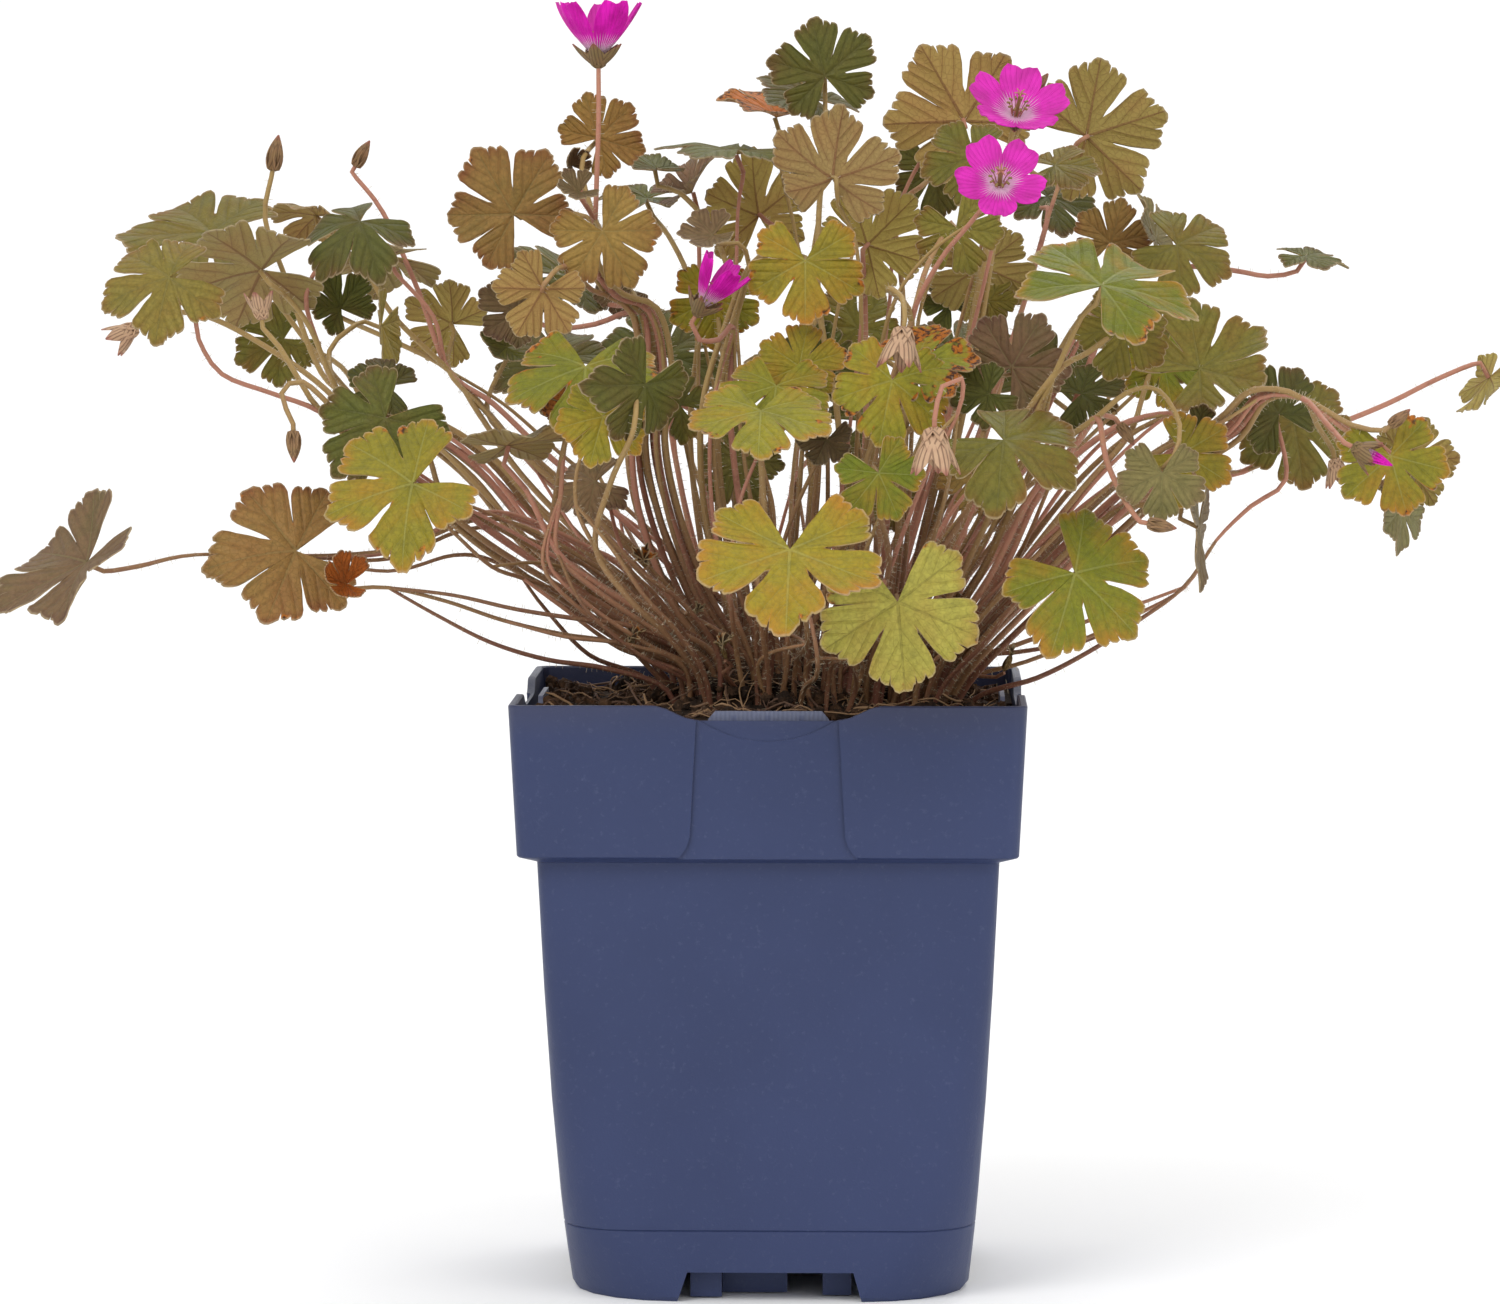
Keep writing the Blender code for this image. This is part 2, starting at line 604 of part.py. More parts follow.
BLOOMS = (
    Bloom("bloom_top", (-45, 313, 0), (90, 0), 1.6, 18, 4.6, (46, 12), 4.0),
    Bloom("bloom_high", (62.5, 299, 2), (80, 40), 1.4, 14, 5.6, (22, 8), 5.0),
    Bloom("bloom_front", (58.5, 282, -44), (85, 62), 1.4, 12, 4.8, (20, 6), 5.0),
    Bloom("bloom_half_open", (-20, 249, -30), (58, 8), 1.6, 15, 2.7, (58, 10), 4.0),
    Bloom("bloom_bud", (150, 215.5, -88), (335, 10), 2.7, 8.4, 0, (0, 0), 0),
)


def new_object(name, verts, faces):
    """A mesh object from points in millimetres."""
    mesh = bpy.data.meshes.new(name)
    mesh.from_pydata([tuple(v * MM) for v in verts], [], faces)
    made = bpy.data.objects.new(name, mesh)
    bpy.context.scene.collection.objects.link(made)
    return made


def tube(points, radii, sides):
    """A closed tube with flat ends along the points."""
    verts, faces = [], []
    across = (points[1] - points[0]).orthogonal().normalized()
    for i, point in enumerate(points):
        ahead = (points[min(i + 1, len(points) - 1)] - points[max(i - 1, 0)]).normalized()
        across = (across - ahead * across.dot(ahead)).normalized()
        other = ahead.cross(across)
        for k in range(sides):
            a = math.tau * k / sides
            verts.append(point + (across * math.cos(a) + other * math.sin(a)) * radii[i])
    for i in range(len(points) - 1):
        for k in range(sides):
            n = (k + 1) % sides
            faces.append((i * sides + k, i * sides + n, (i + 1) * sides + n, (i + 1) * sides + k))
    last = (len(points) - 1) * sides
    faces.append(tuple(range(sides - 1, -1, -1)))
    faces.append(tuple(range(last, last + sides)))
    return new_object("tube", verts, faces)


def spread(count, first, last):
    """Evenly spaced values from first to last."""
    return [first + (last - first) * i / (count - 1) for i in range(count)]


def lobe_outline(reach):
    """A lobe's edge, as (along, aside) shares of its length: teeth only where the leaf is large."""
    if reach > TOOTHED_OVER:
        return ((0.78, 0.35), (0.80, 0.16), (1.0, 0.0), (0.80, -0.16), (0.78, -0.35))
    if reach > SCRAP_UNDER:
        return ((0.78, 0.33), (1.0, 0.0), (0.78, -0.33))
    return ((0.9, 0.2), (0.9, -0.2))


def flat_leaf(reach):
    """A flat leaf of reach 1: points (along, left, offset in the lobe), triangles and edge loop."""
    points, triangles, edge = [(0.0, 0.0, 0.0)], [], [0]
    before = None
    for i, turn in enumerate(LOBE_TURNS):
        a = math.radians(turn)
        ring = []
        for along, aside in reversed(lobe_outline(reach)):
            t, s = along * LOBE_REACH[i], aside * LOBE_REACH[i]
            points.append((t * math.cos(a) - s * math.sin(a), t * math.sin(a) + s * math.cos(a), abs(s)))
            ring.append(len(points) - 1)
        after = None
        if i < len(LOBE_TURNS) - 1:
            b = math.radians((turn + LOBE_TURNS[i + 1]) / 2)
            points.append((SINUS_REACH * math.cos(b), SINUS_REACH * math.sin(b), SINUS_ASIDE))
            after = len(points) - 1
        whole = [0] + ([before] if before else []) + ring + ([after] if after else [])
        if reach > TOOTHED_OVER:
            r = CENTRE_REACH * LOBE_REACH[i]
            points.append((r * math.cos(a), r * math.sin(a), 0.0))
            centre = len(points) - 1
            triangles += [(centre, p, q) for p, q in zip(whole, whole[1:] + whole[:1])]
        else:
            low, high = whole[1], whole[-1]
            triangles.append((0, low, high))
            inner = [p for p in ring if p not in (low, high)]
            triangles += [(p, q, high) for p, q in zip([low, *inner], inner)]
        edge += ring + ([after] if after else [])
        before = after
    return points, triangles, edge


def bent(point, reach, curl):
    """A flat leaf's point lifted by the leaf's cup, its droop and the pleat along each lobe."""
    u, v, aside = point
    r = math.hypot(u, v)
    lift = math.radians(curl[0] + curl[1] * r)
    flat = math.cos(lift)
    return Vector((u * flat, v * flat, r * math.sin(lift) + PLEAT * aside)) * reach


def blade(verts, triangles, edge, thick):
    """A closed sheet of this thickness round an open one, with the same triangles on both faces."""
    normals = [Vector() for _ in verts]
    for a, b, c in triangles:
        n = (verts[b] - verts[a]).cross(verts[c] - verts[a])
        for i in (a, b, c):
            normals[i] += n
    normals = [n.normalized() * thick / 2 for n in normals]
    count = len(verts)
    both = [v + n for v, n in zip(verts, normals)] + [v - n for v, n in zip(verts, normals)]
    faces = list(triangles)
    faces += [(count + c, count + b, count + a) for a, b, c in triangles]
    for a, b in zip(edge, edge[1:] + edge[:1]):
        faces += [(a, count + a, b), (b, count + a, count + b)]
    return new_object("blade", both, faces)


def leaf_axes(leaf):
    """The leaf's middle lobe, its left side and its upper face, as unit vectors."""
    ahead = direction(*leaf.point)
    face = facing(*leaf.face)
    face = (face - ahead * face.dot(ahead)).normalized()
    return ahead, face.cross(ahead), face


def leaf_solid(leaf):
    """The blade of one leaf, in its place."""
    hub = seen(*leaf.hub)
    ahead, left, face = leaf_axes(leaf)
    points, triangles, edge = flat_leaf(leaf.reach)
    verts = []
    for point in points:
        p = bent(point, leaf.reach, leaf.curl)
        verts.append(hub + ahead * p.x + left * p.y + face * p.z)
    return blade(verts, triangles, edge, BLADE)


def leaf_stalk(leaf):
    """The stalk's places after the stem, up to its end inside the blade."""
    hub = seen(*leaf.hub)
    ahead, _, face = leaf_axes(leaf)
    half = math.radians(LOBE_TURNS[3] / 2)
    rest = (CENTRE_REACH, 0.0, 0.0) if leaf.reach > TOOTHED_OVER else (
        SINUS_REACH * math.cos(half), SINUS_REACH * math.sin(half), SINUS_ASIDE)
    slope = bent(rest, leaf.reach, leaf.curl)
    end = hub + ahead * STALK_IN + face * (STALK_IN * slope.z / slope.x - 0.05)
    near = hub - (ahead * 0.35 + face).normalized() * min(5.0, leaf.reach * 0.35)
    return [*[seen(*p) for p in leaf.via], near, end]


def spindle(base, ahead, size, wide):
    """A four-sided bud: a narrow foot, a swollen middle and a pointed tip."""
    rings = ((-0.05, 0.5), (0.35, 1.0), (0.75, 0.6), (1.05, 0.12))
    points = [base + ahead * (t * size) for t, _ in rings]
    return tube(points, [r * wide for _, r in rings], 4)


def star(base, axes, reach, wide, lift, deep):
    """Five pointed sepals round a stalk's end as one thin-edged body, this deep in its middle."""
    ahead, across, other = axes
    a = math.radians(lift)
    verts = [base - ahead * deep * 0.6, base + ahead * deep * 0.4]
    for k in range(5):
        turn, half = math.tau * k / 5, math.pi / 5
        out = across * math.cos(turn) + other * math.sin(turn)
        valley = across * math.cos(turn - half) + other * math.sin(turn - half)
        side = ahead.cross(out)
        along = out * math.cos(a) + ahead * math.sin(a)
        verts.append(base + valley * wide * 0.9 + ahead * math.sin(a) * 0.3)
        verts.append(base + along * reach * 0.5 - side * wide)
        verts.append(base + along * reach)
        verts.append(base + along * reach * 0.5 + side * wide)
    ring = list(range(2, len(verts)))
    faces = []
    for p, q in zip(ring, ring[1:] + ring[:1]):
        faces += [(0, q, p), (1, p, q)]
    return new_object("star", verts, faces)


def head_axes(aim):
    """A flower head's own frame: where it points and two directions across."""
    ahead = direction(*aim)
    across = ahead.orthogonal().normalized()
    return ahead, across, ahead.cross(across)


def head_solids(head):
    """A bud, an open seed calyx, or the cup of sepals under a bloom."""
    base = seen(*head.base)
    ahead, across, other = head_axes(head.aim)
    if head.kind == "bud":
        return [spindle(base, ahead, head.size, 0.24 * head.size)]
    axes = (ahead, across, other)
    if head.kind == "calyx":
        return [star(base, axes, head.size, 0.17 * head.size, 58, 3.4)]
    return [star(base, axes, head.size, 0.2 * head.size, head.lift, 2.6)]


def head_stalk(head):
    """The stalk's places after the stem, up to the foot of a flower head."""
    base = seen(*head.base)
    ahead = direction(*head.aim)
    return [*[seen(*p) for p in head.via], base - ahead * 2.0, base + ahead * 0.5]


def material(name, colour, roughness):
    made = bpy.data.materials.new(name)
    made.use_nodes = True
    shader = made.node_tree.nodes["Principled BSDF"]
    shader.inputs["Base Color"].default_value = (*colour, 1.0)
    shader.inputs["Roughness"].default_value = roughness
    shader.inputs["Metallic"].default_value = 0.0
    return made


def take_evaluated(base):
    """Replaces the object's mesh with what its modifiers make of it."""
    bpy.context.view_layer.update()
    result = bpy.data.meshes.new_from_object(base.evaluated_get(bpy.context.evaluated_depsgraph_get()))
    base.modifiers.clear()
    base.data = result


def combine(base, others, operation, solver="EXACT"):
    """One Boolean of a base with a collection of solids, applied; the solids are then removed."""
    group = bpy.data.collections.new("others")
    bpy.context.scene.collection.children.link(group)
    for one in others:
        group.objects.link(one)
        one.hide_render = True
        one.display_type = "WIRE"
    step = base.modifiers.new("combine", "BOOLEAN")
    step.operation = operation
    step.operand_type = "COLLECTION"
    step.collection = group
    step.solver = solver
    take_evaluated(base)
    for one in others:
        bpy.data.objects.remove(one)
    bpy.data.collections.remove(group)
    shape = bmesh.new()
    shape.from_mesh(base.data)
    bmesh.ops.dissolve_limit(shape, angle_limit=FLAT, verts=shape.verts, edges=shape.edges)
    shape.to_mesh(base.data)
    shape.free()


def shaped(height, places):
    """The value at this height, from (height, value) places in rising order."""
    for (z0, v0), (z1, v1) in zip(places, places[1:]):
        if height <= z1:
            return v0 + (v1 - v0) * max(0.0, (height - z0) / (z1 - z0))
    return places[-1][1]


def body_half(z):
    return shaped(z, BODY_SIDES)


def collar_half(z):
    return COLLAR_HALF_LOW + (RIM_HALF - COLLAR_HALF_LOW) * (z - COLLAR_LOW) / (POT_TALL - COLLAR_LOW)


def around(turn, radius, z=0.0):
    """A point at this turn, in degrees, and radius round the pot's axis."""
    a = math.radians(turn)
    return Vector((radius * math.cos(a), radius * math.sin(a), z))


def ring(half, radius, z):
    """The corners of a rounded square, counter-clockwise from the right."""
    found = []
    for quarter in range(4):
        middle = around(90 * quarter + 45, (half - radius) * math.sqrt(2), z)
        turns = [90 * quarter + 90 * k / CORNER_PIECES for k in range(CORNER_PIECES + 1)]
        found += [middle + around(turn, radius) for turn in turns]
    return found


def loft(name, rings):
    """A closed solid through rings of equal length, from its lower or inner cap to the other."""
    count = len(rings[0])
    verts = [v for one in rings for v in one]
    faces = [tuple(range(count - 1, -1, -1))]
    for i in range(len(rings) - 1):
        for k in range(count):
            n = (k + 1) % count
            faces.append((i * count + k, i * count + n, (i + 1) * count + n, (i + 1) * count + k))
    last = (len(rings) - 1) * count
    faces.append(tuple(range(last, last + count)))
    return new_object(name, verts, faces)


def side_plate(outline, near, far, side):
    """A plate with this (across, up) outline, near and far from the axis as functions of height."""
    turn = Matrix.Rotation(math.radians(90 * side), 3, "Z")
    mirror = -1.0 if side in (2, 3) else 1.0
    count = len(outline)
    verts = [turn @ Vector((mirror * x, -near(z), z)) for x, z in outline]
    verts += [turn @ Vector((mirror * x, -far(z), z)) for x, z in outline]
    faces = [tuple(range(count)), tuple(range(2 * count - 1, count - 1, -1))]
    for k in range(count):
        n = (k + 1) % count
        faces.append((k, k + count, n + count, n))
    made = new_object("plate", verts, faces)
    outwards(made)
    return made


def outwards(made):
    """Turns every face outwards."""
    shape = bmesh.new()
    shape.from_mesh(made.data)
    bmesh.ops.recalc_face_normals(shape, faces=shape.faces)
    shape.to_mesh(made.data)
    shape.free()


def box(low, high):
    """A box between two corners."""
    verts = [Vector((x, y, z)) for z in (low[2], high[2]) for x, y in
             ((low[0], low[1]), (high[0], low[1]), (high[0], high[1]), (low[0], high[1]))]
    faces = [(3, 2, 1, 0), (4, 5, 6, 7), (0, 1, 5, 4), (1, 2, 6, 5), (2, 3, 7, 6), (3, 0, 4, 7)]
    return new_object("box", verts, faces)


def steady(value):
    """A plate's side at the same distance from the axis all the way up."""
    return lambda z: value


def collar_inside(inwards):
    """How far from the axis a surface parallel to the collar's face lies, by height."""
    return lambda z: collar_half(z) - inwards


def body_ring(z, inwards):
    radius = max(1.5, shaped(z, BODY_CORNERS) - inwards)
    return ring(body_half(z) - inwards, radius, z)


def collar_ring(z, inwards):
    return ring(collar_half(z) - inwards, max(1.5, COLLAR_CORNER - inwards), z)


def build_pot(look):
    """The pot: a thin-walled tub with a wider collar, a foot and four label slots."""
    foot = BODY_CORNERS[0][0]
    levels = [z for z, _ in BODY_CORNERS[1:]]
    foot_side = BODY_SIDES[0][1]
    rings = [body_ring(FLOOR_Z - FLOOR_THICK, WALL)]
    rings += [ring(foot_side - inset, radius, 0.0) for inset, radius in (FOOT_INNER, FOOT_OUTER)]
    rings += [body_ring(foot, 0.0), body_ring(levels[0], 0.0)]
    rings += [body_ring(SEAM_Z + t * SEAM_DEEP, (1 - abs(t)) * SEAM_DEEP) for t in (-1, 0, 1)]
    rings += [body_ring(z, 0.0) for z in levels[1:]]
    rings += [collar_ring(COLLAR_LOW, 0.4), collar_ring(COLLAR_LOW + RIM_EDGE, 0.0)]
    rings += [collar_ring(POT_TALL - RIM_EDGE, 0.0), collar_ring(POT_TALL, RIM_EDGE)]
    rings += [collar_ring(POT_TALL, COLLAR_WALL - RIM_EDGE), collar_ring(POT_TALL - RIM_EDGE, COLLAR_WALL)]
    rings += [collar_ring(COLLAR_LOW + COLLAR_WALL, COLLAR_WALL), body_ring(levels[-1] + COLLAR_WALL, WALL)]
    rings += [body_ring(z, WALL) for z in reversed(levels[1:-1])]
    rings += [body_ring(FLOOR_Z + FLOOR_THICK, WALL), body_ring(FLOOR_Z, WALL + FLOOR_FILLET)]
    pot = loft("pot", rings)
    cuts, adds = [], []
    for side in range(4):
        cuts.append(side_plate(PANEL, collar_inside(PANEL_DEEP), collar_inside(-OVERCUT), side))
        cuts.append(side_plate(DIP, steady(TAB_BACK), collar_inside(-OVERCUT), side))
        cuts.append(side_plate(lip_outline(), lip_depth, collar_inside(-OVERCUT), side))
        cuts.append(side_plate(NOTCH, steady(foot_side - OVERCUT), steady(foot_side + OVERCUT), side))
        adds.append(side_plate(TAB, steady(TAB_BACK), steady(TAB_BACK + TAB_THICK), side))
        low, high = TAB[0][1], TAB[0][1] + SHELF_THICK
        left, right = TAB[0][0] + SHELF_INSET, TAB[1][0] - SHELF_INSET
        shelf = ((left, low + SHELF_INSET), (right, low + SHELF_INSET), (right, high), (left, high))
        adds.append(side_plate(shelf, steady(TAB_BACK + SHELF_INSET), collar_inside(COLLAR_WALL / 2), side))
        for left, right, away in NOTCH_PLATES:
            low, high = PLATE_LIFT, FLOOR_Z - 1.0
            outline = ((left, low), (right, low), (right, high), (left, high))
            adds.append(side_plate(outline, steady(away - PLATE_THICK), steady(away), side))
        ends = [around(45 + 90 * side, DRAIN_AT, FLOOR_Z + away) for away in (-OVERCUT, OVERCUT)]
        cuts.append(tube(ends, (DRAIN_R, DRAIN_R), 8))
    adds.append(box((-PAD_HALF, -PAD_HALF, 0.0), (PAD_HALF, PAD_HALF, FLOOR_Z - 1.0)))
    reach = NOTCH_PLATES[1][2] - 0.5
    adds.append(box((-PLATE_THICK / 2, -reach, PLATE_LIFT + 0.3), (PLATE_THICK / 2, reach, FLOOR_Z - 0.8)))
    combine(pot, cuts, "DIFFERENCE")
    combine(pot, adds, "UNION")
    return finish(pot, "pot", look)


def lip_outline():
    """The lip's edge: an arc that hangs between its two upper corners."""
    shares = spread(LIP_PIECES + 1, -1.0, 1.0)
    arc = [(t * LIP_HALF, LIP_LOW + (LIP_TOP - LIP_LOW) * t * t) for t in shares]
    return ((-LIP_HALF, LIP_TOP + LIP_OVER), *arc, (LIP_HALF, LIP_TOP + LIP_OVER))


def lip_depth(z):
    """How far from the axis the scooped lip's floor lies at this height."""
    share = (z - LIP_LOW) / (LIP_TOP + LIP_OVER - LIP_LOW)
    return collar_half(z) - LIP_DEEP[0] - (LIP_DEEP[1] - LIP_DEEP[0]) * share


def soil_height(x, y):
    """The surface: a low mound under the crown, with clods."""
    away = math.hypot(x, y)
    mound = CROWN_RISE * max(0.0, 1.0 - (away / CROWN_REACH) ** 2)
    clods = math.sin(0.31 * x + 1.3 * math.sin(0.17 * y)) + math.cos(0.27 * y + 1.1 * math.sin(0.23 * x))
    return SOIL_Z + mound + SOIL_ROUGH * clods * min(1.0, away / 20.0)


def build_soil(look, stems):
    """The soil: it fills the tub, rises to a mound and takes every stem in its own hole."""
    inwards = WALL + GAP
    levels = [z for z, _ in BODY_CORNERS[2:-1]]
    top = BODY_CORNERS[-1][0] + COLLAR_WALL
    rings = [body_ring(FLOOR_Z + GAP, inwards + FLOOR_FILLET)]
    rings += [body_ring(FLOOR_Z + FLOOR_THICK + GAP, inwards)]
    rings += [body_ring(z, inwards) for z in levels]
    rings += [body_ring(top + GAP, inwards), collar_ring(COLLAR_LOW + COLLAR_WALL + GAP, COLLAR_WALL + GAP)]
    edge = collar_ring(SOIL_Z - 2.0, COLLAR_WALL + GAP)
    rings.append([Vector((v.x, v.y, soil_height(v.x, v.y) - 1.0)) for v in edge])
    for share in SOIL_SHARES:
        even = 1.0 - share
        flat = [v.lerp(Vector((v.x, v.y, 0.0)).normalized() * (RIM_HALF - 8.0), even) * share for v in edge]
        rings.append([Vector((v.x, v.y, soil_height(v.x, v.y))) for v in flat])
    soil = loft("soil", rings)
    cuts = []
    for side in range(4):
        left, right = TAB[0][0] - GAP, TAB[1][0] + GAP
        low, high = TAB[0][1] - GAP, SOIL_Z + 20.0
        pocket = ((left, low), (right, low), (right, high), (left, high))
        cuts.append(side_plate(pocket, steady(TAB_BACK - GAP), steady(RIM_HALF + 3.0), side))
    for line, radii in stems:
        cuts.append(hole_for(line, radii))
    combine(soil, cuts, "DIFFERENCE")
    return finish(soil, "soil", look)


def hole_for(line, radii):
    """A stem's plain hole, from just under its foot to well clear of the soil."""
    clear = SOIL_Z + CROWN_RISE + 4.0
    end = next(i for i, v in enumerate(line) if v.z > clear or math.hypot(v.x, v.y) > 80.0)
    points = [v.copy() for v in line[: end + 1]]
    points[0] -= (points[1] - points[0]).normalized() * GAP
    return tube(points, [r + GAP / math.cos(math.pi / 4) for r in radii[: end + 1]], 4)


def finish(made, name, look):
    made.name = name
    made.data.name = name
    made.data.materials.clear()
    made.data.materials.append(look)
    made.data.shade_smooth()
    made.data.set_sharp_from_angle(angle=math.radians(40))
    return made


def stem_line(shoot):
    """The stem's own points, from its root in the soil."""
    places = [seen(*p) for p in shoot.stem]
    root = Vector((places[0].x * ROOT_DRAW, places[0].y * ROOT_DRAW, ROOT_Z))
    return [root, *places]


def build_shoot(shoot, look):
    """A leafy stem: its stem, leaf stalks, leaves and flower heads as one body."""
    line = stem_line(shoot)
    radii = spread(len(line), *shoot.thick)
    stalks = [(leaf.start, leaf_stalk(leaf)) for leaf in shoot.leaves]
    stalks += [(head.start, head_stalk(head)) for head in shoot.heads]
    lead = next(places for start, places in stalks if start == -1)
    stem = tube(line + lead, radii + [STALK_R] * len(lead), 4)
    solids = [leaf_solid(leaf) for leaf in shoot.leaves]
    for head in shoot.heads:
        solids += head_solids(head)
    for start, places in stalks:
        if places is not lead:
            first = line[-1] if start == -1 else line[start + 1]
            solids.append(tube([first, *places], [STALK_R] * (len(places) + 1), 3))
    combine(stem, solids, "UNION", "MANIFOLD")
    finish(stem, shoot.name, look)
    return line, radii


def petals_sheet(base, axes, bloom):
    """The open sheet of a bloom's petals: points, triangles and its edge."""
    ahead, across, other = axes
    low, rise = bloom.lift
    verts, triangles, edge = [base], [], []
    for k in range(5):
        turn = math.tau * (k + 0.5) / 5
        out = across * math.cos(turn) + other * math.sin(turn)
        valley = across * math.cos(turn - math.pi / 5) + other * math.sin(turn - math.pi / 5)
        side = ahead.cross(out)
        places = [(t, -s) for t, s in PETAL] + [(t, s) for t, s in reversed(PETAL)]
        start = len(verts)
        verts.append(base + valley * PETAL_ROOT * math.cos(math.radians(low)))
        verts[-1] += ahead * PETAL_ROOT * math.sin(math.radians(low))
        for t, s in [*places, (PETAL_MIDDLE, 0.0)]:
            a = math.radians(low + rise * t)
            along = out * math.cos(a) + ahead * math.sin(a)
            verts.append(base + along * t * bloom.reach + side * s * bloom.wide)
        whole = list(range(start, start + len(places) + 1))
        after = start + len(places) + 2 if k < 4 else 1
        loop = [*whole, after]
        triangles += [(start + len(places) + 1, p, q) for p, q in zip(loop, loop[1:])]
        triangles += [(start + len(places) + 1, after, start), (0, start, after)]
        edge += whole
    return verts, triangles, edge


def build_bloom(bloom, look):
    """A bloom: five petals round a small raised middle, or a furled one where the petals have no width."""
    axes = head_axes(bloom.aim)
    base = seen(*bloom.base) + axes[0] * bloom.seat
    if bloom.wide == 0:
        return finish(spindle(base, axes[0], bloom.reach, 0.18 * bloom.reach), bloom.name, look)
    middle = tube([base, base + axes[0] * 0.9, base + axes[0] * bloom.pistil], (0.25, 0.9, 0.7), 5)
    sheet = blade(*petals_sheet(base + axes[0] * PETALS_OVER, axes, bloom), BLADE)
    combine(middle, [sheet], "UNION", "MANIFOLD")
    return finish(middle, bloom.name, look)


def main():
    for old in list(bpy.data.objects):
        bpy.data.objects.remove(old)
    looks = {name: material(name, colour, 0.6) for name, colour in LEAF_COLOURS.items()}
    stems = [build_shoot(shoot, looks[shoot.look]) for shoot in SHOOTS]
    petal = material("petal_magenta", (0.62, 0.03, 0.45), 0.5)
    for bloom in BLOOMS:
        build_bloom(bloom, petal)
    build_pot(material("pot_blue", (0.04, 0.07, 0.19), 0.42))
    build_soil(material("soil_brown", (0.035, 0.02, 0.012), 0.95), stems)


main()
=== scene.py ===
# Hardy geranium in its square plastic pot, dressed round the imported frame.
import math
import random
from collections import namedtuple

import bmesh
import bpy
import numpy as np
from mathutils import Matrix, Vector


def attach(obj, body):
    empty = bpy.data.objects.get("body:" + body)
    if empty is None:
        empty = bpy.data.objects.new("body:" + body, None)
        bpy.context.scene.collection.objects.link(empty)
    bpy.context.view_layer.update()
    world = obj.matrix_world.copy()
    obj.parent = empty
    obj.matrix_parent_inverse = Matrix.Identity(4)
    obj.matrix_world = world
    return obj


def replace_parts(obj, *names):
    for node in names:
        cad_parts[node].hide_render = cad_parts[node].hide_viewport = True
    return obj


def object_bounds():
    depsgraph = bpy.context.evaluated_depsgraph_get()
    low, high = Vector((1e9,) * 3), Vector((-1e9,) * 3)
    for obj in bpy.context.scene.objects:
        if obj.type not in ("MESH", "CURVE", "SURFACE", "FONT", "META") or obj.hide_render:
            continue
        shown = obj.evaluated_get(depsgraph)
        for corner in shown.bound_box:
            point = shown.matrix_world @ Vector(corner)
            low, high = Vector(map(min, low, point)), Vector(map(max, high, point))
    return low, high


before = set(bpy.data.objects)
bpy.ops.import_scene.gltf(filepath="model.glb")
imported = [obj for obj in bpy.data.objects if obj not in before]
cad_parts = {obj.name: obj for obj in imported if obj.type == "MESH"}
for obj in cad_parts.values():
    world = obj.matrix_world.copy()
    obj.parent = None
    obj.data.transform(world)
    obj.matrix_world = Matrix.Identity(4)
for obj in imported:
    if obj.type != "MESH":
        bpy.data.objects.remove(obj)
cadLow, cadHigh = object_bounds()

mm = 0.001
scene = bpy.context.scene
print("frame loaded:", len(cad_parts), "nodes")

# The point that every place in the tables was sighted from, and the view's tilt and turn in degrees.
eyeAt = Vector((33.64, -1696.28, 289.90))
photo = {"tilt": 4.315045, "turn": 1.333238, "lens": 157.054, "sensor": 36.0}

Leaf = namedtuple("Leaf", "hub reach point face curl tone start via", defaults=((0, 0), "olive", -1, ()))
Head = namedtuple("Head", "kind base aim size start via lift", defaults=(-1, (), 15))
Shoot = namedtuple("Shoot", "name slot stem thick leaves heads", defaults=((), ()))
Bloom = namedtuple("Bloom", "name base aim seat reach wide lift pistil")

# Leafy stems from the soil outwards, in millimetres and degrees; a place is (across, up, depth).

